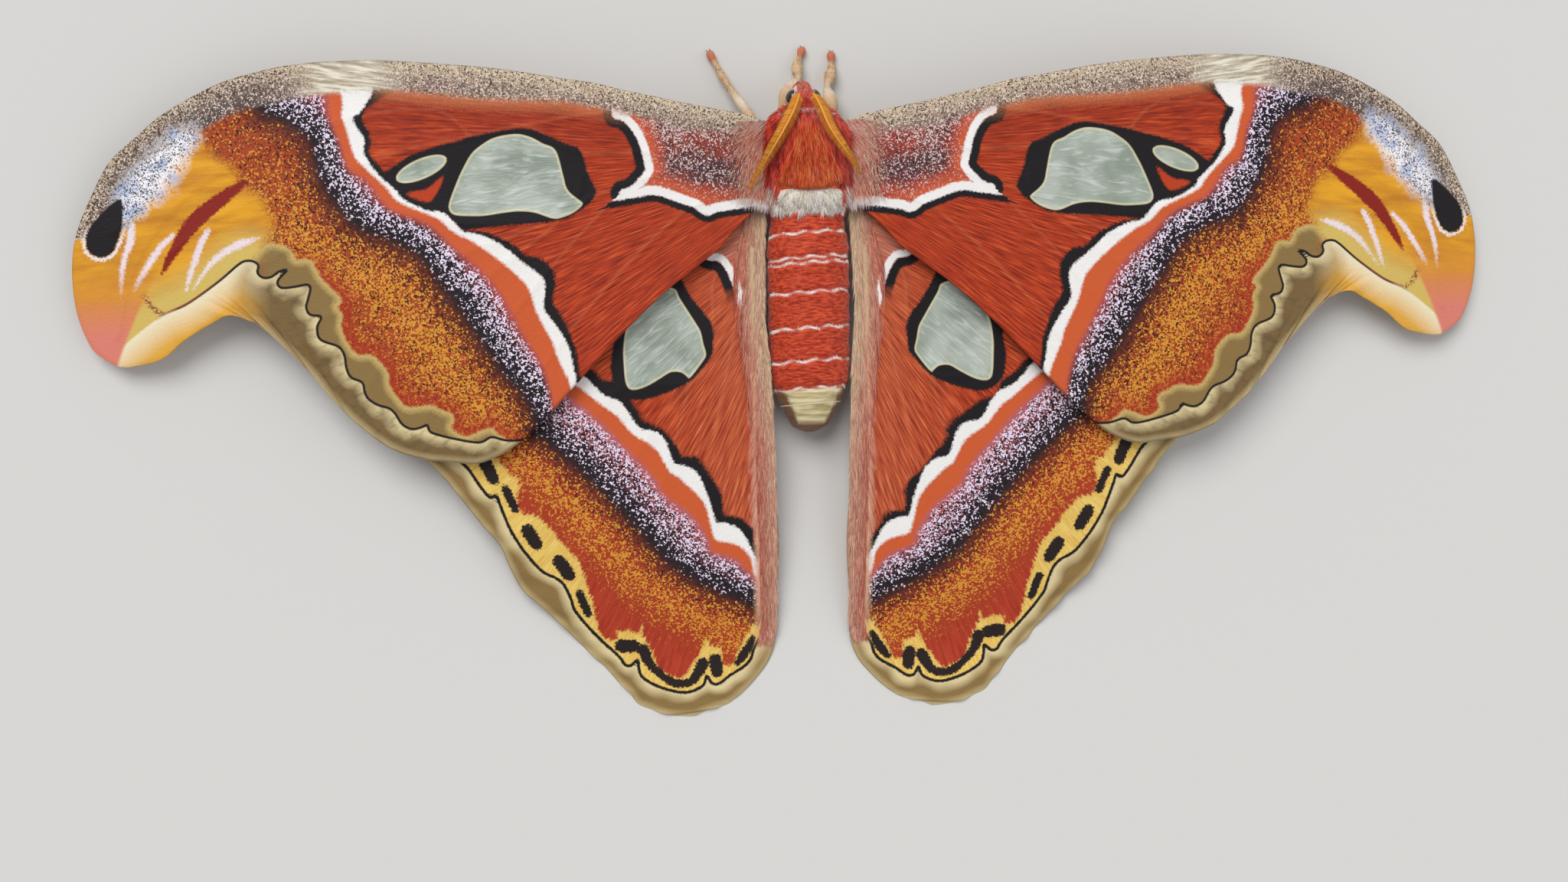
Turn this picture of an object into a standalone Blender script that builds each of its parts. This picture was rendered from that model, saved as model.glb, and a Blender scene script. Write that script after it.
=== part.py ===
"""Atlas moth, female, life size, wings spread flat and resting on a level floor.

All sizes are in millimetres and are turned into metres when a mesh is made. +Y points to the head,
+X to the moth's right and +Z up. The origin lies on the floor under the middle of the whole moth.
"""
import math

import bmesh
import bpy
import numpy as np
from mathutils import Vector, geometry

for old in list(bpy.data.objects):
    bpy.data.objects.remove(old, do_unlink=True)

# Driving dimensions
MM = 0.001
HALF_SPAN = 120.0
MIDDLE_Y = 0.7
GAP = 0.3
WING_THICK = 0.8
WINDOW_THICK = 0.5
WINDOW_BEVEL = 0.6
VEIN_HALF_WIDTH = 0.75
VEIN_HEIGHT = 0.3
WING_GRID = 7.5
OUTLINE_STEP = 3.6
VEIN_STEP = 6.5

# How the forewing is arched: its height at the root and tip, its arch and its camber
FORE_ROOT_Z = 11.7
FORE_TIP_Z = 3.5
FORE_ARCH = 2.5
FORE_AXIS_Y = 38.0
FORE_CAMBER_REAR = 0.0012
FORE_CAMBER_FRONT = 0.0040

# How the hindwing falls from its root to the floor, where its lobe lies flat
HIND_ROOT_Z = 10.0
HIND_ROOT_Y = 31.0
HIND_REACH = 76.5
HIND_FALL_POWER = 2.2
HIND_SPAN_DROOP = 0.0003
HIND_SETTLE = 1.0

# Outlines and forms of the right wings, X from the midline and Y to the head. An outline's two ends are
# the ends of the root, which follows the side of the thorax.
FORE_OUTLINE = [
    (6.6, 42.0), (10, 43.6), (20, 46), (40, 50.3), (60, 53.1), (77, 53.9), (90, 52.3), (100, 48.6), (108, 43.1),
    (114.9, 35.9), (119.1, 27), (120, 19.5), (118.9, 12), (116.3, 7.4), (112.6, 5.2), (107, 6), (101, 10),
    (95, 13.1), (90, 11.4), (84, 5.3), (78, -1.8), (71, -8.4), (63, -11.5), (56, -12.2), (50, -9.8),
    (42, -2.8), (31, 8.8), (20, 18.4), (12, 25.6), (7.1, 29.6)]
FORE_WINDOW = [
    (37.4, 29.6), (40.5, 27.7), (45, 28.4), (52, 28.3), (57.6, 28.2), (58.8, 30.2), (56, 37), (52, 40.4),
    (47.5, 41.1), (42, 38.8), (40.3, 34)]
FORE_EYE_SPOT = {"centre": (63.2, 35.9), "half_length": 4.4, "half_width": 1.6, "turn": -22.0}
HIND_OUTLINE = [
    (7.1, 28.3), (7.7, 24), (7.8, 12), (7.3, 3), (6.7, -10), (6.1, -26), (6.2, -39), (7.8, -47.4),
    (12.5, -52.8), (19, -55.9), (25.5, -55.7), (31, -52.5), (37.8, -44.9), (46.2, -36.2), (51.5, -28.6),
    (57, -20), (63.7, -11.6), (63.4, -5), (57, 4), (44, 16), (28, 27), (14, 31.2), (7.5, 31.4)]
HIND_WINDOW = [
    (25.5, 15), (21.7, 14.1), (18.6, 9), (17.7, 4.6), (20.2, 1.3), (23.5, 2), (28, -0.4), (30.6, 0.3),
    (31.2, 5), (29.5, 11)]

# Main veins, from where each starts out to the margin
FORE_VEINS = [
    [(9.5, 40.6), (25, 44), (45, 47.3), (65, 49.2), (84, 49), (97, 46.8)],
    [(9.5, 37.6), (22, 41.2), (36, 43.9), (49.7, 43), (62, 41.4), (76, 42.6), (91, 41), (104, 35), (113, 26),
     (116.5, 14)],
    [(60, 41.6), (72, 38.6), (87, 33.6), (98, 25.4), (105.5, 13)],
    [(59.6, 31.8), (70, 31), (80, 27.4), (91, 18.4)],
    [(60, 27.5), (70, 23.6), (81.5, 15.5), (85, 10)],
    [(36, 31.4), (42, 26.2), (56, 20), (68, 12.4), (78, 3.4)],
    [(10, 34), (22, 33.2), (32, 30), (44, 21.5), (57, 9), (70, -4)],
    [(10, 31.4), (20, 27.2), (33, 16.4), (46, 2.4), (55, -8)]]
HIND_VEINS = [
    [(10, 30), (24, 25), (40, 13), (52, 1), (60, -9.5)],
    [(10, 27.5), (22, 21.5), (33, 11.5), (41, -2), (50, -16), (54, -21)],
    [(33, 1), (39, -13), (45, -27), (48.6, -32)],
    [(29, -2.5), (33, -15), (38, -30), (41, -39)],
    [(23.5, -0.6), (26.5, -16), (29.5, -34), (31, -49)],
    [(19, -0.5), (18.5, -16), (20, -34), (21.5, -52)],
    [(10, 24), (14, 12), (16, 2), (13.2, -14), (12.4, -32), (13.2, -49)]]

# The body: Y of each section with its half-width, middle height and half-height
THORAX = [
    (45.7, 3.0, 9.5, 2.9), (44.6, 4.7, 9.7, 4.1), (43.2, 5.9, 9.8, 5.0), (41.6, 6.7, 9.9, 5.6),
    (39.0, 7.1, 10.0, 6.0), (36, 7.15, 10.0, 6.1), (32.5, 7.15, 10.0, 5.9), (30, 7.0, 9.9, 5.5), (28, 6.4, 9.7, 4.9)]
ABDOMEN_FRONT_Y = 27.7
ABDOMEN_RINGS = [24.8, 20.0, 15.0, 9.0, 3.7, -1.2]
ABDOMEN_TIP_Y = -8.8
ABDOMEN_STEP = 0.35
HEAD = {"centre": (0, 46.9, 9.5), "radii": (2.6, 2.6, 2.6), "rear_y": 46.0}
PALP = {"centre": (0.75, 49.0, 8.3), "radii": (0.8, 1.1, 1.0)}
EYE_CENTRE = (2.35, 47.3, 9.3)
EYE_RADIUS = 1.3
ANTENNA_RIGHT = [
    (1.25, 47.2, 12.35), (1.4, 46.7, 13.6), (1.95, 44.6, 15.9), (3.1, 41.2, 17.2), (4.9, 38.3, 17.3),
    (6.5, 36.2, 16.7), (7.7, 34.5, 15.8), (8.3, 33.5, 15.2)]
ANTENNA_LEFT = [
    (-1.25, 47.2, 12.35), (-1.4, 46.7, 13.6), (-2.6, 44.1, 16.0), (-4.4, 40.9, 16.9), (-6.5, 37.5, 16.5),
    (-8.3, 34.5, 15.4), (-9.4, 32.7, 14.6), (-10.0, 31.3, 14.0)]
ANTENNA_HALF_WIDTH = 1.4
ANTENNA_STEM_WIDTH = 0.38
ANTENNA_THICK = 0.5
TOOTH_PITCH = 0.8
TOOTH_WIDTH = 0.25

# Fur locks of the thorax: rows of roots, each with its Y, its half-spread in X, its count, the locks'
# length, half-width and splay, which is how far a lock at the row's end turns outwards
SHIELD_ROWS = [
    (43.6, 1.4, 4, 6.4, 0.62, 0.16), (41.4, 2.2, 5, 6.6, 0.72, 0.20), (39.2, 3.0, 6, 6.6, 0.76, 0.20),
    (37.0, 3.7, 7, 6.2, 0.80, 0.16)]
COLLAR_ROW = (32.8, 4.5, 9, 4.8, 0.72, 0.08)
LOCK_SINK = 0.7
LOCK_LIFT = 0.8
LOCK_THICK = 0.3

# Lappets over each wing root: the X and Y of each lock's root with its length and its outward splay
LAPPET_LOCKS = [(4.5, 42.5, 6.8, 0.38), (5.0, 41.3, 7.6, 0.40), (5.3, 39.8, 7.9, 0.37), (5.4, 38.0, 7.2, 0.34)]
LAPPET_HALF_WIDTH = 0.85

# Legs: points down each leg with its radius there, ending in the foot on the floor
FORE_LEG_RIGHT = [
    (2.6, 42.8, 4.4, 0.9), (3.4, 43.3, 3.6, 0.9), (5.2, 45.0, 4.0, 0.95), (5.5, 46.6, 3.8, 1.35),
    (5.3, 48.3, 3.2, 1.3), (5.1, 50.0, 2.4, 0.6), (5.7, 51.7, 1.9, 1.15), (6.1, 53.2, 1.4, 0.85),
    (6.25, 54.4, 1.0, 0.5), (6.25, 55.6, 0.75, 0.9), (6.3, 56.2, 0.5, 0.6)]
FORE_LEG_LEFT = [
    (-2.6, 42.8, 4.4, 0.9), (-3.0, 44.4, 3.6, 0.9), (-2.7, 46.6, 4.0, 1.0), (-2.0, 48.4, 3.8, 1.6),
    (-0.9, 50.0, 3.2, 1.3), (0.2, 51.5, 2.4, 0.6), (0.1, 53.0, 1.9, 1.1), (0.3, 54.2, 1.4, 0.85),
    (0.7, 55.3, 1.0, 0.5), (1.15, 56.4, 0.75, 0.9), (1.3, 57.0, 0.5, 0.6)]
MIDDLE_LEG_LEFT = [
    (-3.6, 39.0, 3.8, 0.95), (-4.9, 39.6, 3.4, 1.0), (-7.2, 42.4, 5.8, 0.95), (-9.0, 45.6, 4.5, 0.95),
    (-10.4, 48.0, 3.2, 0.9), (-11.6, 50.1, 2.3, 0.6), (-12.6, 52.0, 1.7, 0.75), (-13.6, 54.0, 1.2, 0.5),
    (-14.4, 55.8, 0.8, 0.85), (-14.7, 56.5, 0.55, 0.6)]
MIDDLE_LEG_RIGHT = [
    (3.6, 39.0, 3.8, 0.95), (4.9, 39.4, 3.4, 1.0), (7.6, 40.4, 5.2, 1.05), (10.4, 40.6, 4.4, 0.95),
    (12.4, 40.2, 2.8, 0.85), (13.9, 39.4, 1.7, 0.6), (15.1, 38.2, 1.1, 0.6), (16.1, 36.9, 0.75, 0.85),
    (16.6, 36.2, 0.5, 0.6)]
HIND_LEG_RIGHT = [
    (3.6, 33.4, 3.8, 0.95), (4.9, 33.0, 3.3, 1.0), (8.0, 31.0, 5.0, 1.05), (10.8, 28.0, 4.4, 0.95),
    (12.6, 25.0, 3.0, 0.85), (13.8, 22.4, 1.8, 0.6), (14.5, 20.2, 1.1, 0.6), (14.9, 18.3, 0.75, 0.85),
    (15.1, 17.4, 0.5, 0.6)]
LEG_SIDES = 8
LEG_STEP = 1.3


def mirrored(points):
    """The same points on the other side of the midline."""
    return [(-p[0],) + tuple(p[1:]) for p in points]


LEGS = {
    "leg_fore_right": FORE_LEG_RIGHT, "leg_fore_left": FORE_LEG_LEFT,
    "leg_middle_right": MIDDLE_LEG_RIGHT, "leg_middle_left": MIDDLE_LEG_LEFT,
    "leg_hind_right": HIND_LEG_RIGHT, "leg_hind_left": mirrored(HIND_LEG_RIGHT)}


# Materials
def material(name, colour, roughness, metallic=0.0):
    mat = bpy.data.materials.new(name)
    mat.use_nodes = True
    shader = mat.node_tree.nodes["Principled BSDF"]
    shader.inputs["Base Color"].default_value = (*colour, 1.0)
    shader.inputs["Roughness"].default_value = roughness
    shader.inputs["Metallic"].default_value = metallic
    return mat


WING_SCALES = material("wing_scales", (0.42, 0.07, 0.02), 0.75)
HIND_SCALES = material("hindwing_scales", (0.38, 0.06, 0.02), 0.75)
BODY_FUR = material("body_fur", (0.40, 0.06, 0.02), 0.9)
ABDOMEN_FUR = material("abdomen_fur", (0.36, 0.05, 0.02), 0.85)
HEAD_FUR = material("head_fur", (0.38, 0.08, 0.03), 0.9)
EYE_GLOSS = material("eye_gloss", (0.02, 0.01, 0.008), 0.15)
ANTENNA_GOLD = material("antenna_gold", (0.60, 0.24, 0.04), 0.55)
LEG_FUR = material("leg_fur", (0.62, 0.38, 0.18), 0.8)


# Curves
def smooth(points, step, closed=False):
    """A Catmull-Rom curve through the points, read about every step millimetres."""
    pts = np.array(points, float)
    count = len(pts)
    spans = count if closed else count - 1
    out = []
    for i in range(spans):
        before = pts[(i - 1) % count] if closed or i > 0 else 2 * pts[0] - pts[1]
        start = pts[i]
        end = pts[(i + 1) % count]
        after = pts[(i + 2) % count] if closed or i < count - 2 else 2 * pts[-1] - pts[-2]
        length = np.linalg.norm((end - start)[:3])
        for t in np.arange(max(1, round(length / step))) / max(1, round(length / step)):
            out.append(0.5 * (2 * start + (end - before) * t
                              + (2 * before - 5 * start + 4 * end - after) * t ** 2
                              + (3 * start - before - 3 * end + after) * t ** 3))
    if not closed:
        out.append(pts[-1])
    return np.array(out)


def distance_to(line, points, closed=False):
    """The distance of each point to a polyline, and how far along it the nearest place lies, 0 to 1."""
    line = np.array(line, float)
    if closed:
        line = np.vstack([line, line[:1]])
    start = line[:-1]
    run = line[1:] - start
    length = np.linalg.norm(run, axis=1)
    along = np.concatenate([[0], np.cumsum(length)])[:-1]
    t = np.einsum("pki,ki->pk", points[:, None] - start, run) / length ** 2
    t = np.clip(t, 0, 1)
    gap = np.linalg.norm(points[:, None] - start - t[..., None] * run, axis=2)
    best = gap.argmin(axis=1)
    rows = np.arange(len(points))
    return gap[rows, best], (along[best] + t[rows, best] * length[best]) / length.sum()


def inside(loop, points):
    """True for each point that lies inside a closed outline."""
    x, y = points[:, 0, None], points[:, 1, None]
    x0, y0 = loop[:, 0], loop[:, 1]
    x1, y1 = np.roll(x0, -1), np.roll(y0, -1)
    level = np.where(y1 == y0, 1e-9, y1 - y0)
    crosses = ((y0 > y) != (y1 > y)) & (x < (x1 - x0) * (y - y0) / level + x0)
    return crosses.sum(axis=1) % 2 == 1


# Mesh objects
def metres(point):
    """A place given in millimetres, moved so that the whole moth's middle is at the origin."""
    return Vector((float(point[0]), float(point[1]) - MIDDLE_Y, float(point[2]))) * MM


def new_object(name, verts, faces, mat):
    """A named object from points in millimetres and faces that point outwards."""
    mesh = bpy.data.meshes.new(name)
    mesh.from_pydata([metres(v) for v in verts], [], [tuple(f) for f in faces])
    mesh.materials.append(mat)
    mesh.validate()
    obj = bpy.data.objects.new(name, mesh)
    bpy.context.scene.collection.objects.link(obj)
    return obj


def outward(obj):
    """Turn every face of a closed mesh outwards and shade it smooth."""
    bm = bmesh.new()
    bm.from_mesh(obj.data)
    bmesh.ops.recalc_face_normals(bm, faces=bm.faces)
    bm.to_mesh(obj.data)
    bm.free()
    obj.data.shade_smooth()
    obj.data.set_sharp_from_angle(angle=math.radians(35))
    return obj


def loft(name, rings, mat):
    """Join closed rings of equal length, one after another, with a flat cap on each end."""
    sides = len(rings[0])
    verts = [p for ring in rings for p in ring]
    faces = []
    for r in range(len(rings) - 1):
        for k in range(sides):
            a, b = r * sides + k, r * sides + (k + 1) % sides
            faces.append((a, b, b + sides, a + sides))
    faces.append(tuple(reversed(range(sides))))
    faces.append(tuple(range(len(verts) - sides, len(verts))))
    return outward(new_object(name, verts, faces, mat))


def body_ring(y, half_width, middle, half_height, sides=20):
    """An upright oval ring across the body at one Y."""
    angles = 2 * math.pi * np.arange(sides) / sides
    return [(half_width * math.cos(a), y, middle + half_height * math.sin(a)) for a in angles]


def tube(name, points, mat, sides, step, floor=False):
    """A round tube along points that each hold x, y, z and a radius; a foot is pressed flat on the floor."""
    path = smooth(points, step)
    centre, radius = path[:, :3], np.maximum(path[:, 3], 0.3)
    heading = np.gradient(centre, axis=0)
    heading /= np.linalg.norm(heading, axis=1)[:, None]
    across = np.cross(heading, (0, 0, 1.0))
    flat = np.linalg.norm(across, axis=1) < 0.2
    across[flat] = np.cross(heading[flat], (0, 1.0, 0))
    across /= np.linalg.norm(across, axis=1)[:, None]
    upward = np.cross(across, heading)
    rings = []
    for c, r, a, u in zip(centre, radius, across, upward):
        angles = 2 * math.pi * (np.arange(sides) + 0.5) / sides
        ring = c + r * (np.cos(angles)[:, None] * a + np.sin(angles)[:, None] * u)
        if floor:
            ring[:, 2] = np.maximum(ring[:, 2], 0.0)
        rings.append(list(ring))
    return loft(name, rings, mat)


THORAX_SECTIONS = smooth(THORAX, 1.6)


# Wings
def fore_height(x, y):
    """Middle height of the forewing: an arch along the span, a droop to the tip, cambered fore and aft."""
    s = np.abs(x) / HALF_SPAN
    behind = np.maximum(FORE_AXIS_Y - y, 0)
    before = np.maximum(y - FORE_AXIS_Y, 0)
    spanwise = FORE_ROOT_Z + FORE_ARCH * 4 * s * (1 - s) - (FORE_ROOT_Z - FORE_TIP_Z) * s ** 1.6
    return spanwise - FORE_CAMBER_REAR * behind ** 2 - FORE_CAMBER_FRONT * before ** 2


def hind_height(x, y):
    """Middle height of the hindwing: a fall to the rear that settles level on the floor."""
    t = np.maximum(HIND_ROOT_Y - y, 0) / HIND_REACH
    raw = (HIND_ROOT_Z - WING_THICK / 2) * (1 - t ** HIND_FALL_POWER) - HIND_SPAN_DROOP * x ** 2
    settling = (raw + HIND_SETTLE) ** 2 / (4 * HIND_SETTLE)
    settled = np.where(raw > HIND_SETTLE, raw, np.where(raw < -HIND_SETTLE, 0, settling))
    return settled + WING_THICK / 2


def oval(centre, half_length, half_width, turn, steps=16):
    angles = 2 * math.pi * np.arange(steps) / steps
    c, s = math.cos(math.radians(turn)), math.sin(math.radians(turn))
    x, y = half_length * np.cos(angles), half_width * np.sin(angles)
    return np.stack([centre[0] + c * x - s * y, centre[1] + s * x + c * y], axis=1)


def shrunk(loop, inset):
    """The same loop moved inwards by the inset, along each corner's own normal."""
    run = np.roll(loop, -1, axis=0) - np.roll(loop, 1, axis=0)
    normal = np.stack([-run[:, 1], run[:, 0]], axis=1)
    normal /= np.linalg.norm(normal, axis=1)[:, None]
    moved = loop + inset * normal
    return moved if inside(loop, moved).mean() > 0.5 else loop - inset * normal


def thorax_size(y):
    """Half-width, middle height and half-height of the thorax at one Y."""
    table = THORAX_SECTIONS[::-1]
    return [np.interp(y, table[:, 0], table[:, k]) for k in (1, 2, 3)]


def root_edge(lower, upper, height):
    """The wing's edge along the side of the thorax, a gap away from it, from its lower to its upper end."""
    y = np.linspace(lower[1], upper[1], 6)[1:-1]
    width, middle, tall = thorax_size(y)
    level = height(np.full(len(y), lower[0]), y) - WING_THICK / 2
    x = width * np.sqrt(1 - ((level - middle) / tall) ** 2) + GAP
    return np.stack([x, y], axis=1)


def wing(name, outline, windows, veins, height, mat, left, flat_under=0.0):
    """A wing of even thickness: one flat pattern of triangles, used alike on its upper and lower faces.

    The pattern holds the margin, each vein's crest and two feet, and each window's rim. A vein is a ridge
    whose height falls from its crest to its feet, and a window is a sunk, thinner patch.
    """
    rim = smooth(outline, OUTLINE_STEP)
    ends = sorted((outline[0], outline[-1]), key=lambda end: end[1])
    root = root_edge(ends[0], ends[1], height)
    rim = np.vstack([rim, root if outline[-1][1] < outline[0][1] else root[::-1]])
    crests = [smooth(vein, VEIN_STEP) for vein in veins]
    loops = [rim]
    for window in windows:
        loops += [window, shrunk(window, WINDOW_BEVEL)]
    points, edges = [], []
    for loop in loops:
        first = len(points)
        points += list(loop)
        edges += [(first + k, first + (k + 1) % len(loop)) for k in range(len(loop))]
    for crest in crests:
        run = np.gradient(crest, axis=0)
        run /= np.linalg.norm(run, axis=1)[:, None]
        side = np.stack([-run[:, 1], run[:, 0]], axis=1) * VEIN_HALF_WIDTH
        for line in (crest, crest + side, crest - side):
            kept = line[inside(rim, line)]
            first = len(points)
            points += list(kept)
            edges += [(first + k, first + k + 1) for k in range(len(kept) - 1)]
    low, high = rim.min(axis=0), rim.max(axis=0)
    grid = np.array([(x + (WING_GRID / 2 if row % 2 else 0), y)
                     for row, y in enumerate(np.arange(low[1], high[1], WING_GRID * 0.87))
                     for x in np.arange(low[0], high[0], WING_GRID)])
    grid = grid[inside(rim, grid)]
    clear = np.ones(len(grid), bool)
    for line, closed in [(loop, True) for loop in loops] + [(crest, False) for crest in crests]:
        clear &= distance_to(line, grid, closed)[0] > WING_GRID * 0.38
    points += list(grid[clear])
    flat = geometry.delaunay_2d_cdt([Vector(p) for p in points], edges, [list(range(len(rim)))], 1, 1e-3)
    plan = np.array([tuple(v) for v in flat[0]])
    triangles = [tuple(f) for f in flat[2]]

    ridge = np.zeros(len(plan))
    for crest in crests:
        away, along = distance_to(crest, plan)
        ridge = np.maximum(ridge, VEIN_HEIGHT * (1 - 0.6 * along) * np.clip(1 - away / VEIN_HALF_WIDTH, 0, 1))
    thick = np.full(len(plan), WING_THICK)
    for window in windows:
        depth = distance_to(window, plan, True)[0] * inside(window, plan)
        thick -= (WING_THICK - WINDOW_THICK) * np.clip(depth / WINDOW_BEVEL, 0, 1)
    middle = height(plan[:, 0], plan[:, 1])
    under = np.where(middle < flat_under, 0.0, 1.0)
    upper = middle + thick / 2 + ridge
    lower = middle - thick / 2 - ridge * under
    side = -1 if left else 1
    count = len(plan)
    verts = [(side * p[0], p[1], z) for p, z in zip(plan, upper)]
    verts += [(side * p[0], p[1], z) for p, z in zip(plan, lower)]
    faces = list(triangles) + [(c + count, b + count, a + count) for a, b, c in triangles]
    border = {}
    for a, b, c in triangles:
        for edge in ((a, b), (b, c), (c, a)):
            border[edge] = True
    for a, b in list(border):
        if (b, a) not in border:
            faces += [(b, a, a + count), (b, a + count, b + count)]
    return outward(new_object(name, verts, faces, mat))


def make_wings():
    fore_windows = [smooth(FORE_WINDOW, 3.0, closed=True), oval(**FORE_EYE_SPOT)]
    hind_windows = [smooth(HIND_WINDOW, 3.0, closed=True)]
    for label, left in (("right", False), ("left", True)):
        wing("forewing_" + label, FORE_OUTLINE, fore_windows, FORE_VEINS, fore_height, WING_SCALES, left)
        wing("hindwing_" + label, HIND_OUTLINE, hind_windows, HIND_VEINS, hind_height, HIND_SCALES, left,
             flat_under=1.6)


# Joining
def largest_surface(obj):
    """Keep only the object's largest closed surface."""
    bm = bmesh.new()
    bm.from_mesh(obj.data)
    bm.faces.ensure_lookup_table()
    seen, best = set(), []
    for face in bm.faces:
        if face in seen:
            continue
        group, stack = [], [face]
        seen.add(face)
        while stack:
            current = stack.pop()
            group.append(current)
            for edge in current.edges:
                for other in edge.link_faces:
                    if other not in seen:
                        seen.add(other)
                        stack.append(other)
        if len(group) > len(best):
            best = group
    kept = set(best)
    bmesh.ops.delete(bm, geom=[f for f in bm.faces if f not in kept], context="FACES")
    bm.to_mesh(obj.data)
    bm.free()
    return obj


def fused(base, pieces):
    """One Boolean union of the base with all its pieces, which are then removed."""
    group = bpy.data.collections.new(base.name + "_pieces")
    bpy.context.scene.collection.children.link(group)
    for piece in pieces:
        bpy.context.scene.collection.objects.unlink(piece)
        group.objects.link(piece)
    change = base.modifiers.new("union", "BOOLEAN")
    change.operation = "UNION"
    change.operand_type = "COLLECTION"
    change.solver = "EXACT"
    change.collection = group
    graph = bpy.context.evaluated_depsgraph_get()
    mesh = bpy.data.meshes.new_from_object(base.evaluated_get(graph))
    base.modifiers.remove(change)
    base.data = mesh
    for piece in pieces:
        bpy.data.objects.remove(piece, do_unlink=True)
    bpy.data.collections.remove(group)
    return outward(largest_surface(base))


def ribbon(path, across, upward, half_width, half_thick, mat):
    """A flat strip along a path: a four-cornered section whose width and thickness change on the way."""
    rings = []
    for c, a, u, w, t in zip(path, across, upward, half_width, half_thick):
        rings.append([c + w * a, c + t * u, c - w * a, c - t * u])
    return loft("strip", rings, mat)


# Body
def thorax_top(x, y):
    """Height of the thorax's upper surface; past its side it keeps the height of the side."""
    width, middle, height = thorax_size(y)
    return middle + height * np.sqrt(np.clip(1 - (x / width) ** 2, 0.0, 1.0))


def lock(x, y, length, half_width, splay, lift, droop=0.0, over_wing=False):
    """A flat tapered lock, rooted under the skin, that follows the thorax to the rear or lies over a wing."""
    share = np.array([0.0, 0.3, 0.62, 0.86, 1.0])
    path = np.zeros((len(share), 3))
    path[:, 0] = x + splay * length * share
    path[:, 1] = y - length * share
    rise = -LOCK_SINK + (LOCK_SINK + lift) * np.sin(math.pi / 2 * np.clip(share / 0.7, 0, 1))
    path[:, 2] = thorax_top(path[:, 0], path[:, 1]) + rise - droop * share ** 3
    if over_wing:
        clear = fore_height(path[1:, 0], path[1:, 1]) + WING_THICK / 2 + VEIN_HEIGHT + GAP + 2 * LOCK_THICK
        path[1:, 2] = np.maximum(path[1:, 2], clear)
    heading = np.gradient(path, axis=0)
    heading /= np.linalg.norm(heading, axis=1)[:, None]
    width, middle = THORAX_SECTIONS[:, 1].max(), THORAX_SECTIONS[:, 2].max()
    out = np.stack([path[:, 0], np.zeros(len(share)), (path[:, 2] - middle) + 0.3 * width], axis=1)
    if over_wing:
        out[:] = (0, 0, 1.0)
    across = np.cross(heading, out)
    across /= np.linalg.norm(across, axis=1)[:, None]
    upward = np.cross(across, heading)
    shape = np.array([0.75, 1.0, 0.95, 0.6, 0.12])
    thick = np.array([1.0, 1.0, 0.9, 0.7, 0.35])
    return ribbon(path, across, upward, half_width * shape, LOCK_THICK * thick, BODY_FUR)


def row_of_locks(row, lift, draw, droop=0.0):
    """Locks spread evenly across the back, each turned outwards with its distance from the midline."""
    y, spread, count, length, half_width, splay = row
    locks = []
    for share in np.linspace(-1, 1, count):
        vary = draw.uniform(-1, 1, 3)
        locks.append(lock(share * spread, y + 0.35 * vary[0], length * (1 + 0.08 * vary[1]), half_width,
                          splay * share + 0.02 * vary[2], lift + 0.15 * vary[2], droop))
    return locks


def make_thorax():
    """The thorax with its shield of long fur, the lappets over the wing roots and the pale rear tuft."""
    draw = np.random.default_rng(7)
    body = loft("thorax", [body_ring(*s) for s in THORAX_SECTIONS], BODY_FUR)
    locks = []
    for k, row in enumerate(SHIELD_ROWS):
        locks += row_of_locks(row, LOCK_LIFT + 0.1 * k, draw)
    locks += row_of_locks(COLLAR_ROW, 0.5, draw, droop=0.3)
    for side in (1, -1):
        for x, y, length, splay in LAPPET_LOCKS:
            locks.append(lock(side * x, y, length, LAPPET_HALF_WIDTH, side * splay, LOCK_LIFT, over_wing=True))
    return fused(body, locks)


def abdomen_size(y):
    """Half-width, middle height and half-height of the abdomen at one Y."""
    t = (ABDOMEN_FRONT_Y - y) / (ABDOMEN_FRONT_Y - ABDOMEN_TIP_Y)
    width = 6.9 * min(1.0, 0.86 + 0.9 * t) * (1 - max(0.0, t - 0.72) ** 1.5 * 4.6)
    return width, 9.4 - 4.6 * t ** 1.4, width * 0.83


def make_abdomen():
    """Rings that each swell a little and step in at the next, then a blunt cone."""
    stops = [ABDOMEN_FRONT_Y] + ABDOMEN_RINGS + [ABDOMEN_TIP_Y]
    rings = []
    for front, rear in zip(stops, stops[1:]):
        for share, step in ((0.0, ABDOMEN_STEP), (0.18, 0.0), (0.9, 0.0)):
            y = front + (rear - front) * share
            width, middle, height = abdomen_size(y)
            rings.append(body_ring(y, width - step, middle, height - step))
    width, middle, height = abdomen_size(ABDOMEN_TIP_Y)
    rings.append(body_ring(ABDOMEN_TIP_Y, max(width - 0.3, 0.6), middle, max(height - 0.3, 0.5)))
    return loft("abdomen", rings, ABDOMEN_FUR)


def ball(name, centre, radii, mat, segments=20, rings=12):
    mesh = bpy.data.meshes.new(name)
    bm = bmesh.new()
    bmesh.ops.create_uvsphere(bm, u_segments=segments, v_segments=rings, radius=1.0)
    bmesh.ops.scale(bm, verts=bm.verts, vec=Vector(radii) * MM)
    bmesh.ops.translate(bm, verts=bm.verts, vec=metres(centre))
    bm.to_mesh(mesh)
    bm.free()
    mesh.materials.append(mat)
    obj = bpy.data.objects.new(name, mesh)
    bpy.context.scene.collection.objects.link(obj)
    return outward(obj)


def cut(obj, cutter, operation="DIFFERENCE"):
    """Apply one Boolean on the object and remove the cutter."""
    change = obj.modifiers.new("change", "BOOLEAN")
    change.operation = operation
    change.solver = "EXACT"
    change.object = cutter
    graph = bpy.context.evaluated_depsgraph_get()
    mesh = bpy.data.meshes.new_from_object(obj.evaluated_get(graph))
    obj.modifiers.remove(change)
    obj.data = mesh
    bpy.data.objects.remove(cutter, do_unlink=True)
    return obj


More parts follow.
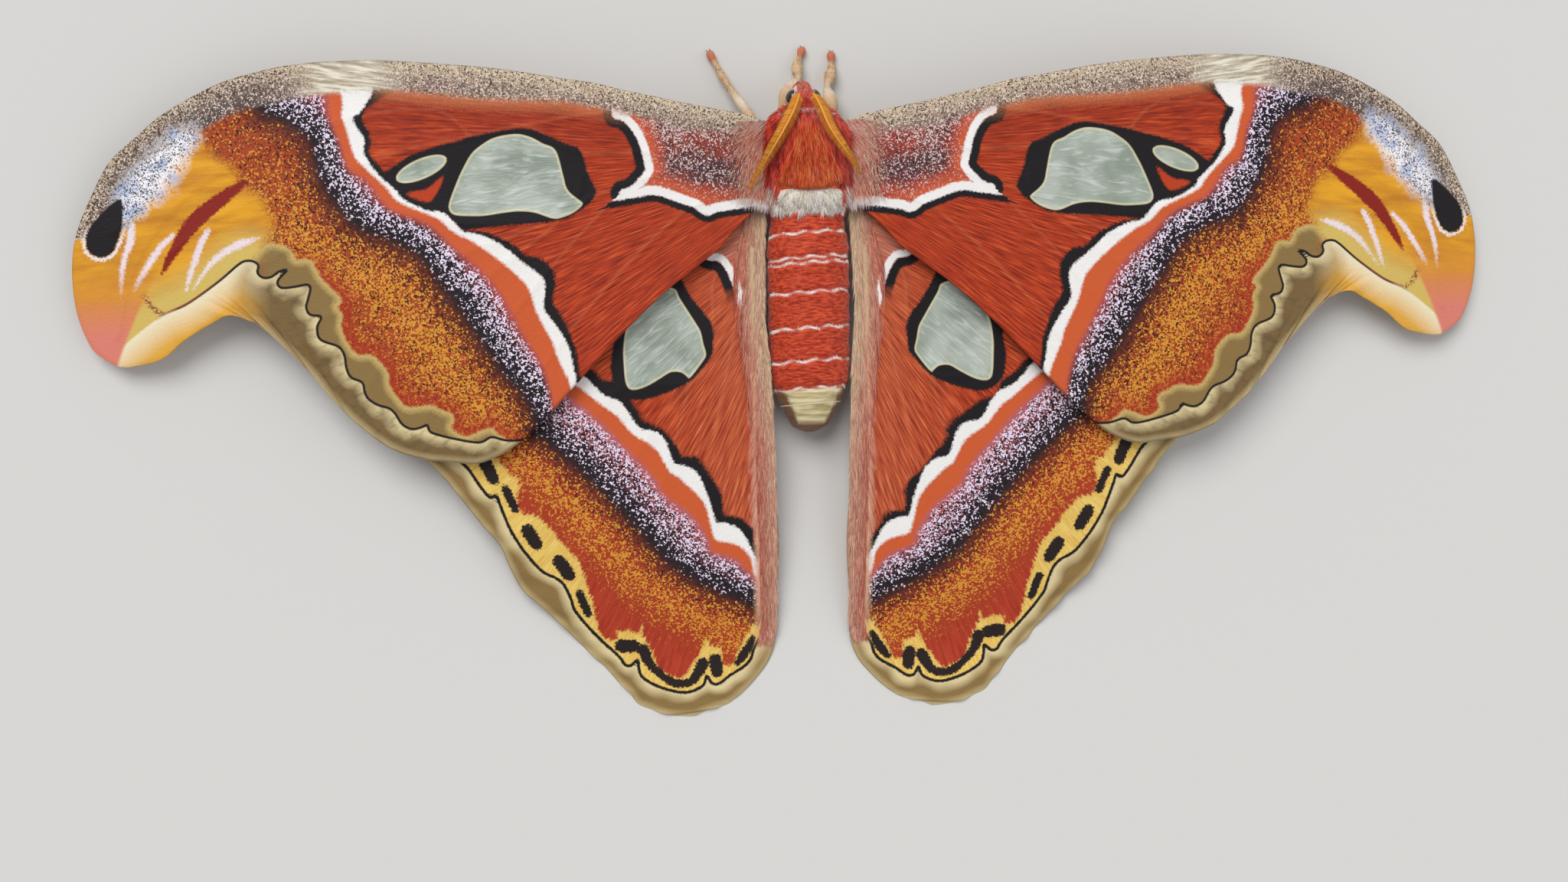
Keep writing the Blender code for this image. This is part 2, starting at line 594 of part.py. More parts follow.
def block(name, low, high):
    """A plain box between two corners, used as a cutter."""
    mesh = bpy.data.meshes.new(name)
    bm = bmesh.new()
    bmesh.ops.create_cube(bm, size=1.0)
    low, high = metres(low), metres(high)
    bmesh.ops.scale(bm, verts=bm.verts, vec=high - low)
    bmesh.ops.translate(bm, verts=bm.verts, vec=(high + low) / 2)
    bm.to_mesh(mesh)
    bm.free()
    obj = bpy.data.objects.new(name, mesh)
    bpy.context.scene.collection.objects.link(obj)
    return obj


def make_head():
    """A rounded head with two blunt palps, flat where it meets the thorax, with a cup for each eye."""
    head = ball("head", HEAD["centre"], HEAD["radii"], HEAD_FUR)
    palps = []
    for side in (1, -1):
        centre = (side * PALP["centre"][0], PALP["centre"][1], PALP["centre"][2])
        palps.append(ball("palp", centre, PALP["radii"], HEAD_FUR, 10, 7))
    fused(head, palps)
    cut(head, block("rear", (-5, 40, 0), (5, HEAD["rear_y"], 20)))
    for side, label in ((1, "right"), (-1, "left")):
        centre = (side * EYE_CENTRE[0], EYE_CENTRE[1], EYE_CENTRE[2])
        cup = (EYE_RADIUS + GAP,) * 3
        cut(head, ball("cup", centre, cup, HEAD_FUR, 14, 8))
        ball("eye_" + label, centre, (EYE_RADIUS,) * 3, EYE_GLOSS, 14, 8)
    return outward(head)


def feather_width(share):
    """Half-width of a feeler's comb along its length: quickly wide, then a long taper to the tip."""
    return ANTENNA_HALF_WIDTH * np.clip(share / 0.16, 0, 1) ** 0.7 * (1 - share ** 2.2) ** 0.8 + 0.12


def make_antenna(name, points):
    """A flat stem that carries a comb of tapered teeth on both sides, each slanting towards the tip."""
    path = smooth(points, 1.2)
    heading = np.gradient(path, axis=0)
    heading /= np.linalg.norm(heading, axis=1)[:, None]
    across = np.cross(heading, (0, 0, 1.0))
    across /= np.linalg.norm(across, axis=1)[:, None]
    upward = np.cross(across, heading)
    along = np.concatenate([[0], np.cumsum(np.linalg.norm(np.diff(path, axis=0), axis=1))])
    share = along / along[-1]
    stem_width = ANTENNA_STEM_WIDTH * (1 - 0.6 * share)
    stem = ribbon(path, across, upward, stem_width, np.full(len(path), ANTENNA_THICK / 2), ANTENNA_GOLD)
    teeth = []
    for place in np.arange(2.0, along[-1] - 0.6, TOOTH_PITCH):
        centre, forward, side_way, up = (
            np.array([np.interp(place, along, field[:, k]) for k in range(3)])
            for field in (path, heading, across, upward))
        reach = float(feather_width(place / along[-1]))
        for side in (1, -1):
            out = side * side_way
            tip = centre + reach * out + 0.55 * reach * forward - 0.1 * reach * up
            run = np.stack([centre, centre + 0.5 * (tip - centre), tip])
            line = np.repeat((tip - centre)[None] / np.linalg.norm(tip - centre), 3, axis=0)
            flat = np.cross(line, up)
            flat /= np.linalg.norm(flat, axis=1)[:, None]
            width = TOOTH_WIDTH * np.array([1.0, 0.9, 0.4])
            thick = ANTENNA_THICK / 2 * np.array([0.8, 0.7, 0.4])
            teeth.append(ribbon(run, flat, np.cross(flat, line), width, thick, ANTENNA_GOLD))
    fused(stem, teeth)
    stem.name = name
    return stem


def make_legs():
    for name, points in LEGS.items():
        tube(name, points, LEG_FUR, LEG_SIDES, LEG_STEP, floor=True)


make_wings()
make_thorax()
make_abdomen()
make_head()
make_antenna("antenna_right", ANTENNA_RIGHT)
make_antenna("antenna_left", ANTENNA_LEFT)
make_legs()
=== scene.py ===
"""Looks of the atlas moth: scaled wings, a furred body, feathered antennae, eyes and legs, all life size.

Lengths are in millimetres in the moth's own frame, X across the wings, Y towards the head, Z away from the
ground; every mesh is turned into metres when its object is made.
"""

import bpy
import numpy as np
from mathutils import Matrix, Vector


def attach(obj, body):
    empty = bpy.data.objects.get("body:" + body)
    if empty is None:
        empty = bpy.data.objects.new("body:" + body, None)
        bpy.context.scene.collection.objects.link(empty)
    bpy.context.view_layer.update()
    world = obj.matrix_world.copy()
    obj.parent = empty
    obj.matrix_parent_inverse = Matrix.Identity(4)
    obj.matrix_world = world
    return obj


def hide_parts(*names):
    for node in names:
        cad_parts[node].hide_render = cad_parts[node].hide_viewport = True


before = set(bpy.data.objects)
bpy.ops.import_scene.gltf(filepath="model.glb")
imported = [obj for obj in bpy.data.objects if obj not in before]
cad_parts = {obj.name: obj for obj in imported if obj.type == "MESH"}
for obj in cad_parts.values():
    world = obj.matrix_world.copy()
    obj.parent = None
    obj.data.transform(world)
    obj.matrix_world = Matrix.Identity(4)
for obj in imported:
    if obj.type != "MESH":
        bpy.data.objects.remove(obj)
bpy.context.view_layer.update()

MIDDLE_Y = 0.7
MM = 0.001
TURN = 2 * np.pi

# Wing surfaces
HALF_SPAN = 120.0
WING_THICK = 0.45
WINDOW_SINK = 0.13
VEIN_RISE = 0.16
VEIN_SPREAD = 0.42
PLEAT = 0.16
PLEAT_SPREAD = 3.2
PLEAT_FADE = 4.0
RIM_DEPTH = 4.5
RIM_WAVES = ((0.24, 0.92, 0.0), (0.15, 1.71, 1.3))
RIM_RUN = 130.0
SINK_FADE = 0.5
EDGE_ROUND = 0.7
SPOT_RIM = 0.3
LIE_SHIFT = 12
LIE_RADIUS = 60
FORE_ROOT = (8.0, 38.0)
HIND_ROOT = (8.0, 30.0)
FORE_STEPS = (270, 112)
HIND_STEPS = (190, 104)

# Curves read off the wings, as (distance from the midline, distance towards the head, half-width if any)
FORE_LEAD = [
    (7.5, 43), (10, 44), (15, 45), (20, 46), (25, 47.1), (30, 48.2), (35, 49.5), (40, 50.3), (50, 52),
    (60, 53.1), (70, 53.9), (75, 53.9), (80, 53.8), (85, 53.3), (90, 52.3), (95, 50.9), (100, 48.6),
    (105, 45.7), (109, 42.4), (113.3, 38.6), (116.5, 33), (119.1, 27), (120, 20.8), (119.4, 14), (117.4, 8.7),
    (115.5, 6.8), (113, 5.3)]
FORE_TRAIL = [
    (7.5, 29), (10.1, 27.3), (12.8, 24.7), (15.5, 21.7), (20.4, 18), (25.6, 13.9), (30.9, 8.9), (35.8, 3.9),
    (39.5, 0), (43.6, -4.4), (46.7, -7.2), (49.8, -9.7), (52.8, -11.3), (55.9, -12.2), (60, -11.8),
    (64.8, -11.1), (69.9, -9.1), (75.1, -4.9), (78.9, -0.8), (82, 3.2), (86, 7.5), (89.7, 11.2), (91.6, 12.1),
    (94.7, 13.1), (97.8, 11.8), (102.1, 9.3), (105.9, 6.4), (110.8, 5.3), (113, 5.3)]
HIND_LEAD = [
    (7.1, 29.7), (12, 31), (25, 28), (40, 18), (52, 8), (60, 0), (64, -6), (64.3, -9), (63.7, -11.6),
    (61.3, -14.3), (59.2, -17.1), (57.2, -19.8), (55.1, -22.6), (52.4, -26), (51, -29.5), (48.9, -33.6),
    (46, -36.4), (41.9, -40.5), (37.8, -44.9), (35.3, -47.4), (33.2, -50), (31.4, -51.8), (30.2, -53.6),
    (28.1, -54.6), (25.6, -55.6), (23, -56.1), (20.4, -56.1)]
HIND_TRAIL = [
    (7.1, 29.7), (7.3, 24.7), (7.6, 19.3), (7.7, 12.7), (7.2, 7.2), (6.9, 3.4), (6.8, -3), (6.3, -10.7),
    (6.3, -18.3), (5.8, -26), (5.9, -31.3), (6.3, -36.4), (6.3, -40.3), (6.5, -44.1), (7.7, -47.4),
    (9.7, -50), (12, -52.3), (14.8, -54.3), (17.9, -55.2), (20.4, -56.1)]

FORE_BAND_IN = [
    (70.4, 57), (70.5, 49.4), (71.9, 46.5), (73, 45), (74, 44.5), (73.5, 43.2), (72.1, 40.7), (72.3, 38.6),
    (70.2, 35.3), (67.3, 32.5), (66.3, 31.1), (62.5, 29.2), (60.4, 28.9), (58.9, 27.9), (57.6, 26.4),
    (56.4, 25.5), (54.3, 25.1), (50.7, 23.3), (47.7, 20.7), (44.3, 17.9), (43.8, 16.1), (44.1, 12.8),
    (42.6, 10.5), (40.3, 6.6), (39.5, 2.5), (39.2, 1.3), (38, -8)]
FORE_BAND_OUT = [
    (90, 57), (82, 50.5), (78, 49), (75.8, 48.6), (75.5, 46.3), (75.7, 44.8), (75, 42.7), (73.9, 38.4),
    (72.7, 36.8), (68.9, 33), (67.6, 31.2), (66.1, 30.2), (62, 28.4), (60.2, 27.4), (58.4, 25.6),
    (55.1, 23.8), (50.7, 20.5), (47.7, 17.7), (46.4, 15.9), (45.2, 12), (42.9, 7.4), (42.2, 5.1), (40.8, 1.8),
    (40.3, 0.5), (38.5, -8)]
FORE_SPECKLE = [
    (96, 57), (86, 50.5), (79, 49.2), (77.8, 48.3), (77.6, 45.3), (76.8, 42.7), (75.8, 40.2), (75.3, 37.9),
    (74.2, 35.8), (71.9, 34.3), (68.9, 30.2), (66.8, 28.9), (62.2, 26.9), (58.4, 23.3), (53.8, 19.2),
    (50.7, 15.1), (47.7, 9.2), (44.6, 3.8), (43.5, 0.2), (43.1, -1.6), (42, -9)]
FORE_CORE = [
    (98, 57), (88, 47.5), (84, 45.6), (79.6, 41.9), (77.8, 35), (73.2, 28.4), (68.1, 26.1), (63, 23),
    (59.2, 17.7), (55.8, 13), (52.3, 7.4), (49.2, 2.8), (45.7, -1.6), (43.5, -10)]
FORE_TAN = [
    (125, 2), (106, 14.5), (98.5, 16.2), (95, 19.2), (91.5, 21.3), (88.6, 24.3), (86.3, 24.3), (84.4, 23.3),
    (83.8, 21.8), (81.4, 21.6), (79.8, 18.7), (76.6, 15.1), (77.4, 14), (76.6, 12.5), (76.8, 10.2),
    (74.8, 6.4), (72, 5.9), (69.7, 3.3), (69.4, 1), (68.2, -1), (66.6, -2.6), (63, -2.4), (61, -3.3),
    (59.5, -3.9), (59.2, -5.1), (59.7, -6.2), (58.2, -7.4), (56.9, -7.6), (54.9, -6.8), (53.1, -6.4),
    (52.6, -7), (50, -9)]
FORE_WAVE = [
    (118, 3.2), (112, 8.8), (106, 13.2), (101.5, 15.2), (96.5, 18.5), (93.1, 21.2), (91.9, 21.8),
    (90.6, 21.7), (89.8, 21), (90, 19.8), (89.1, 19), (87.8, 19.1), (86.6, 19.9), (85.2, 20.2), (86.3, 19.1),
    (86.9, 18.2), (86.3, 17.3), (84.1, 17.4), (82.1, 17.7), (81.6, 17.1), (82.1, 15.2), (82.4, 14),
    (81.8, 12.8), (80, 12.45), (80.7, 10.9), (80.6, 9.2), (79.7, 8.4), (77.4, 7.5), (76.5, 6), (76.3, 4.1),
    (75.6, 2.5), (73.8, 1.6), (73.5, 0.2), (73, -1), (71.5, -2.1), (69.7, -2.7), (68.7, -3.6), (67.6, -5.4),
    (66.1, -6.2), (64.6, -6), (63.6, -5.6), (63.2, -6.7), (61.8, -7.3), (59.7, -7.9), (55.9, -8.7),
    (54.4, -8.5), (53.2, -7.9), (50, -8.6), (44, -8)]
FORE_WINDOW = [
    (37.4, 29.5), (38.7, 28.4), (40.5, 27.6), (42.3, 27.4), (45.1, 28.4), (47.7, 28.7), (50.2, 28.5),
    (53.3, 28.1), (55.8, 28.1), (57.9, 28.3), (58.8, 28.9), (58.9, 30.2), (57.6, 33.5), (56.6, 35.6),
    (55.1, 38.1), (53.3, 39.6), (51.2, 40.7), (47.9, 41.2), (45.6, 40.7), (43.6, 39.6), (41.5, 38.4),
    (40.4, 34.3), (40, 32.5), (39.2, 31.3), (37.6, 30)]
FORE_EYE_SPOT = (63.2, 35.9, 4.4, 1.6, -22.0)
FORE_DARK = [
    (46, 42.1), (42.7, 40.9), (40, 39.6), (37.9, 38.8), (37, 37.2), (36.3, 34.5), (35.2, 32.1), (35.2, 31.1),
    (36.5, 29.5), (39.5, 27.6), (42, 26.9), (45.1, 26.6), (50.7, 26.3), (54.3, 26), (57.4, 25.9),
    (59.5, 28.0), (62.5, 29), (66.5, 31), (70.2, 35.2), (69.4, 35.3), (67.1, 36.8), (65, 38.1), (60.4, 39.6),
    (57.9, 40.1), (55.3, 40.9), (51.5, 41.6), (48.7, 42)]
FORE_WEDGE = [(59.7, 34.6), (62.5, 32.6), (64.5, 32.3), (65.8, 31.8), (63.0, 30.4), (61.3, 31.2)]
FORE_INK = [
    (66.4, 57), (66.6, 49.9), (70.2, 47), (71.7, 45.8), (72.5, 44.5), (71.7, 42.7), (71.2, 40.7),
    (71.4, 38.6), (69.9, 36.6), (66.5, 32.0), (60.5, 29.6), (57.0, 26.3), (54.3, 25.6), (52.3, 25.1),
    (48.4, 23), (46.9, 21.5), (44.6, 21), (43.3, 20), (42.3, 18.4), (42.2, 16.1), (42.6, 13.8), (40.8, 10.7),
    (39.9, 8.2), (39, 5.6), (38.6, 2), (37, -8)]
FORE_COSTA = [
    (0, 40), (7.5, 40.6), (15, 41.3), (20, 41.5), (25, 43), (31.5, 44.7), (40, 46.3), (50.2, 46.9),
    (55.3, 47.3), (65.6, 48.6), (72, 49), (79, 48.5), (90, 46.7), (95.3, 44.8), (102.4, 39.8), (107.1, 32.4),
    (109.6, 29.2), (111.2, 27.4)]
FORE_ANTE = [
    (31, 60), (31.5, 45.5), (31.0, 44.2), (29.6, 43.3), (28.3, 41.7), (27.3, 39.6), (26.7, 37.2),
    (26.3, 35.3), (26.7, 34.3), (27.7, 33.1), (29.3, 31.7), (30.7, 31.3)]
FORE_STRIPE = [
    (-5, 29.8), (6, 29.9), (10.1, 29.5), (12.8, 29.1), (15.5, 28.7), (17.1, 28.2), (18.7, 29.3), (20.8, 30.1),
    (22.9, 30.9), (25.1, 31.6), (27.2, 31.6), (29.5, 31.2), (60, 27)]
FORE_SMUDGE = [(11, 34.2, 0.6), (14, 34.6, 1.6), (18, 35.3, 1.5), (22, 36.2, 1.0), (24, 36.6, 0.2)]
FORE_BLAZE = [
    (91.8, 34.4, 0.6), (94.7, 32.4, 1.1), (97.2, 30.6, 1.3), (99.6, 28.6, 1.4), (101.5, 26.4, 1.2),
    (103.1, 24, 0.9), (104.3, 22.1, 0.65), (105.4, 20.2, 0.3)]
FORE_SPOT = [(112.0, 31.8, 0.7), (113.4, 29, 2.0), (114.6, 26.8, 2.6), (115.1, 25.6, 2.5)]
FORE_FOLD = [(104, 24), (106.6, 19.5), (109, 15), (111.3, 10), (113.2, 5), (114, 0)]
FORE_DUST = [(100.8, 12.9), (104.5, 13.4), (106.8, 14.4), (108.5, 16.6)]
# Pale patch across the forewing tip: partly pale scales, partly a painted satin highlight.
FORE_PALE_SHEEN = [
    (100.2, 42.4, 1.2), (102.2, 40.6, 2.2), (106.6, 35.8, 3.0), (110.6, 31.4, 2.2), (112.6, 29, 1.0)]
FORE_STREAKS = [
    [(110.0, 30.4, 0.3), (110.2, 26.1, 0.7), (111.2, 23.3, 0.5), (111.9, 20.2, 0.45), (112.2, 16.5, 0.1)],
    [(103.4, 26.4, 0.4), (105.6, 24.3, 0.55), (107.4, 21.8, 0.55), (109, 19.3, 0.5), (110.2, 17.4, 0.1)],
    [(97.8, 26.8, 0.5), (99, 24.6, 0.6), (100, 22.1, 0.55), (100.9, 19.6, 0.45), (101.7, 17.1, 0.1)],
    [(89.7, 25.4, 0.2), (92.2, 24.7, 0.65), (94.7, 23.6, 0.6), (97.2, 21.8, 0.5), (99, 19.6, 0.3),
     (100.6, 17.4, 0.1)]]
FORE_GOLD = [
    (104, 44), (98.7, 42.6), (98.4, 41.4), (95.9, 38.6), (93.4, 36.7), (92.2, 34.2), (89.1, 32), (88.1, 29.6),
    (87.2, 27.1), (88.4, 24.9), (90, 22), (96, 16), (97, 8)]
FORE_VEINS = [
    [(8, 41.5), (30, 45.3), (45.1, 47), (70, 49), (90, 46.2), (104, 38.5), (113, 27)],
    [(8, 40), (29.9, 44.4), (45.1, 42.9), (55.3, 40.9), (66, 38.9), (80, 34), (96, 29), (112, 17)],
    [(55, 41), (60.4, 45.3), (72, 44.8), (88, 40), (101, 32.5), (109.5, 22), (113, 10)],
    [(8, 38.6), (25, 38), (37.5, 38.2), (45, 42)],
    [(38, 31.2), (45, 27.2), (58, 27.0), (70, 29), (84, 24), (92, 19)],
    [(37.6, 34), (38.2, 31), (46, 25.8), (60, 21), (76, 14.5), (84, 7.8)],
    [(8, 37.5), (22, 35), (36, 30.6), (45, 24), (56, 16), (68, 7), (75, -2)],
    [(30, 32.6), (40, 22.5), (50, 11), (60, 0), (66, -8)],
    [(8, 32.5), (20, 28.5), (30, 20), (40, 9), (50, -4), (55, -10)]]

HIND_BAND_IN = [
    (46, 8), (41, 4), (37.6, 1.6), (35.8, -0.4), (34.2, -1.7), (32.2, -2.5), (30.7, -4.3), (28.9, -7.1),
    (27.1, -7.5), (25.6, -8.1), (24.5, -9.6), (23.3, -13), (21.7, -13.5), (20.2, -14.2), (18.9, -15.8),
    (17.4, -19.6), (16.4, -23.2), (14.8, -23.4), (12.2, -24.8), (10.2, -28.5), (9.2, -30.1), (7.4, -31.6),
    (6.1, -34.4)]
HIND_BAND_OUT = [
    (46, 5.5), (42, 2.4), (38.3, -0.4), (34.5, -3.5), (32.5, -5), (29.9, -8.1), (27.6, -9.6), (25.8, -11.2),
    (24, -14.5), (22.5, -15.5), (18.9, -19.1), (17.9, -21.1), (17.2, -24), (16.4, -26.2), (14.3, -26.7),
    (12.3, -27.5), (10.7, -29.3), (9.7, -32.9), (6.3, -36)]
HIND_SPECKLE = [
    (46, 2.5), (42, 0), (39.6, -2), (35.8, -5.3), (31.2, -10.2), (26.6, -15.3), (25, -18.1), (20.4, -21.9),
    (17.6, -26.2), (17.1, -28), (13.3, -29.5), (11.5, -31.1), (9, -34), (6.3, -37)]
HIND_CORE = [
    (52, -2), (44, -7.5), (38, -12.8), (32, -19), (26.8, -25.2), (23, -29.3), (16.6, -33.4), (11, -36),
    (6, -39)]
HIND_YELLOW = [
    (64, -3), (58, -7.8), (52.1, -11.8), (51, -13.8), (49, -15.1), (49.2, -20), (45.8, -21.4), (42.4, -25.5),
    (40.6, -27.8), (39.1, -29.5), (38.1, -33.6), (37.3, -35.7), (36.5, -40), (35.3, -42.3), (33.5, -42.6),
    (33.2, -41.3), (31.7, -41.2), (29.4, -41.6), (29.1, -40.3), (28.6, -42.3), (27.1, -45.9), (26.3, -47.7),
    (24.5, -49.2), (22.5, -49.5), (21.2, -48.2), (18.9, -44.6), (18.1, -43.3), (17.4, -44.4), (15.8, -44.9),
    (15.3, -47.7), (13.8, -47.4), (12.5, -44.4), (11, -42.1), (10.5, -40.3), (9.7, -41.3), (8.7, -40.3),
    (6, -40.2)]
HIND_WAVE = [
    (64, -7), (57.9, -12.3), (56.7, -13.8), (55.4, -15.9), (53.8, -17.9), (52.8, -17.4), (52.3, -18.9),
    (51.4, -21.4), (50.3, -24), (48.2, -27.4), (45.6, -30.5), (43.2, -31.8), (41.9, -33.1), (40.9, -35.4),
    (40.1, -37.7), (36.5, -42.1), (33, -45.6), (32.2, -46.9), (31.2, -47.2), (29.9, -46.2), (29.8, -47.4),
    (29.4, -49), (27.9, -50.2), (25.6, -51.3), (23, -52), (21, -52), (18.9, -51), (18.3, -49.5),
    (17.4, -50.8), (16.1, -50.8), (14.3, -49.5), (12, -48.2), (10.7, -46.9), (10, -44.9), (7.9, -41.6),
    (6, -40.9)]
HIND_OVALS = [
    [(53.2, -14.8, 0.85), (54.6, -11.8, 0.9)], [(49.7, -20.0, 0.5), (51.2, -16.6, 0.55)],
    [(46.4, -25.9, 0.85), (47.8, -23.6, 0.95)], [(41.1, -31.3, 0.9), (42.7, -28.9, 0.95)],
    [(38.1, -38.0, 0.5), (39.4, -34.6, 0.6)], [(30.6, -43.9, 0.95), (32.6, -43.7, 1.0)],
    [(28.9, -44.6, 0.9), (27.9, -47, 0.6), (26.3, -48.7, 0.45), (24.3, -50.2, 0.55), (22.2, -50.6, 0.55),
     (20.4, -49.8, 0.6), (18.9, -47.4, 0.9)], [(16.8, -46.8, 0.9), (16.5, -48.8, 0.9)],
    [(10.2, -43.3, 0.4), (11.6, -45.7, 0.6), (13, -47.4, 0.4)]]
HIND_WINDOW = [
    (22.6, 15.7), (21.7, 14.1), (19.2, 10), (18.4, 8.5), (18, 6.5), (17.6, 4.9), (17.9, 4), (20.2, 1.1),
    (20.7, 1.1), (21.7, 1.9), (23.5, 2), (25.3, 1), (27.3, -0.1), (29.1, -0.7), (30.4, -0.6), (31, 0.6),
    (31.2, 3.4), (31.2, 6.2), (30.6, 9.5), (29, 13), (26, 16)]
HIND_DARK = [
    (22.4, 18.6), (20.4, 15.4), (18.9, 13.1), (16.9, 10.5), (16.2, 8.5), (16.4, 6.5), (16.6, 4.6),
    (18.6, 2.0), (20.4, 0.3), (22.5, -0.8), (25, -1.7), (27.6, -2.4), (29.6, -2.5), (31.6, -1.6), (33, 0.3),
    (33.4, 3.4), (33, 6.2), (32.4, 10.5), (30.5, 15), (26.5, 18.6)]
HIND_ANTE = [
    (18.6, 22.4), (16.5, 20.9), (14.9, 20.7), (13.6, 19.3), (12.8, 17.7), (12, 15.3), (11.5, 13.2),
    (10.7, 10.8)]
HIND_VEINS = [
    [(14, 27), (30, 20), (44, 8), (60, -8)], [(12, 25), (21, 19), (33, 7), (46, -8), (55, -19)],
    [(12, 23), (16, 17), (16.6, 9), (20, 0.5), (32.5, -1), (42, -16), (50, -27)],
    [(20, 0.5), (27, -8), (35, -22), (42, -38)], [(20, 0.5), (23.5, -11), (28.4, -28), (33, -47)],
    [(10.5, 24), (12.5, 10), (16, -6), (20, -25), (23, -52)],
    [(9.5, 22), (9.8, 5), (10, -15), (11, -34), (14, -51)]]

# For each mark: a curve and the far corners of its side; a loop and its step; strokes and their step
FORE_FAR = [(200, -60), (200, 100)]
FORE_BEHIND = [(40, -30), (125, -30)]
FORE_LINES = {
    "band_in": (FORE_BAND_IN, FORE_FAR), "band_out": (FORE_BAND_OUT, FORE_FAR),
    "speckle": (FORE_SPECKLE, FORE_FAR), "core": (FORE_CORE, FORE_FAR), "ink": (FORE_INK, FORE_FAR),
    "gold": (FORE_GOLD, FORE_FAR), "tan": (FORE_TAN, FORE_BEHIND), "wave": (FORE_WAVE, FORE_BEHIND),
    "costa": (FORE_COSTA, [(125, 25), (125, 80), (0, 80)]),
    "ante": (FORE_ANTE, [(34, 29), (60, 20), (200, 0), (200, 100)]),
    "stripe": (FORE_STRIPE, [(60, -60), (-5, -60)]), "fold": (FORE_FOLD, [(200, 0), (200, 60)])}
FORE_LOOPS = {"window": (FORE_WINDOW, 0.4), "wedge": (FORE_WEDGE, 0.4), "dark": (FORE_DARK, 0.5)}
FORE_STROKES = {
    "vein": (FORE_VEINS, 1.0), "streak": (FORE_STREAKS, 0.5), "blaze": ([FORE_BLAZE], 0.5),
    "spot": ([FORE_SPOT], 0.5), "pale_sheen": ([FORE_PALE_SHEEN], 0.5), "smudge": ([FORE_SMUDGE], 0.5),
    "dust": ([FORE_DUST], 0.5)}
HIND_FAR = [(-5, -70), (200, -70), (200, 100)]
HIND_BEHIND = [(0, -45), (0, -70), (90, -70), (90, 0)]
HIND_LINES = {
    "band_in": (HIND_BAND_IN, HIND_FAR), "band_out": (HIND_BAND_OUT, HIND_FAR),
    "speckle": (HIND_SPECKLE, HIND_FAR), "core": (HIND_CORE, HIND_FAR), "yellow": (HIND_YELLOW, HIND_BEHIND),
    "wave": (HIND_WAVE, HIND_BEHIND), "ante": (HIND_ANTE, [(10.7, -60), (200, -60), (200, 60)])}
HIND_LOOPS = {"window": (HIND_WINDOW, 0.4), "dark": (HIND_DARK, 0.5)}
HIND_STROKES = {"vein": (HIND_VEINS, 1.0), "oval": (HIND_OVALS, 0.5)}


def tone(red, green, blue):
    """Linear colour of a screen colour given as 0 to 255: ((c/255 + 0.055) / 1.055) to the power 2.4."""
    return tuple(((c / 255 + 0.055) / 1.055) ** 2.4 for c in (red, green, blue)) + (1.0,)


# Curves and distances

def spline(points, step=0.5, closed=False):
    """Catmull-Rom curve: p(t) = (2b + (c-a)t + (2a-5b+4c-d)tt + (3b-a-3c+d)ttt) / 2 between b and c."""
    p = np.asarray(points, float)
    q = np.vstack([p[-1:], p, p[:2]]) if closed else np.vstack([2 * p[:1] - p[1:2], p, 2 * p[-1:] - p[-2:-1]])
    out = []
    for a, b, c, d in zip(q[:-3], q[1:-2], q[2:-1], q[3:]):
        n = max(1, int(np.ceil(np.linalg.norm((c - b)[:2]) / step)))
        t = (np.arange(n) / n)[:, None]
        out.append((2 * b + (c - a) * t + (2 * a - 5 * b + 4 * c - d) * t ** 2
                    + (3 * b - a - 3 * c + d) * t ** 3) / 2)
    if not closed:
        out.append(p[-1:])
    return np.vstack(out)


def lengths_along(curve):
    """Arc length from the start of a curve to each of its points."""
    return np.concatenate([[0.0], np.cumsum(np.linalg.norm(np.diff(curve, axis=0), axis=1))])


def at_share(curve, share):
    """Points of a curve at the given shares of its length."""
    run = lengths_along(curve)
    return np.stack([np.interp(share * run[-1], run, curve[:, i]) for i in range(curve.shape[1])], axis=-1)


def distance(x, y, curve, closed=False):
    """Distance from each point to a curve: |p - a - clip((p-a).(b-a) / |b-a|^2, 0, 1) (b-a)| over its pieces.

    A third column is the curve's half-width there, and is taken off the distance.
    """
    line = np.vstack([curve, curve[:1]]) if closed else curve
    best = np.full(x.shape, 1e9)
    for a, b in zip(line[:-1], line[1:]):
        dx, dy = b[0] - a[0], b[1] - a[1]
        t = np.clip(((x - a[0]) * dx + (y - a[1]) * dy) / max(dx * dx + dy * dy, 1e-12), 0, 1)
        away = np.hypot(x - a[0] - t * dx, y - a[1] - t * dy)
        if line.shape[1] > 2:
            away = away - (a[2] + t * (b[2] - a[2]))
        np.minimum(best, away, out=best)
    return best


def inside(x, y, loop):
    """Whether each point lies in a closed loop, by counting the edges that a ray along +X crosses."""
    hit = np.zeros(x.shape, bool)
    for a, b in zip(loop, np.roll(loop, -1, axis=0)):
        if a[1] != b[1]:
            over = (a[1] > y) != (b[1] > y)
            hit ^= over & (x < a[0] + (y - a[1]) * (b[0] - a[0]) / (b[1] - a[1]))
    return hit


def side(x, y, curve, corners):
    """Distance to a curve, above zero where the point lies in the loop of the curve and the far corners."""
    loop = np.vstack([curve[:, :2], corners])
    return np.where(inside(x, y, loop), 1.0, -1.0) * distance(x, y, curve)


def region(x, y, loop):
    """Distance to a closed loop, above zero inside it."""
    return np.where(inside(x, y, loop), 1.0, -1.0) * distance(x, y, loop, True)


def oval(cx, cy, half_length, half_width, turn, steps=24):
    """Loop c + R(turn) (L cos a, W sin a)."""
    a = np.arange(steps) * 2 * np.pi / steps
    r = np.radians(turn)
    u, v = half_length * np.cos(a), half_width * np.sin(a)
    return np.stack([cx + u * np.cos(r) - v * np.sin(r), cy + u * np.sin(r) + v * np.cos(r)], axis=1)


# Meshes

def placed(name, data):
    """A new object, linked into the scene."""
    obj = bpy.data.objects.new(name, data)
    bpy.context.scene.collection.objects.link(obj)
    return obj


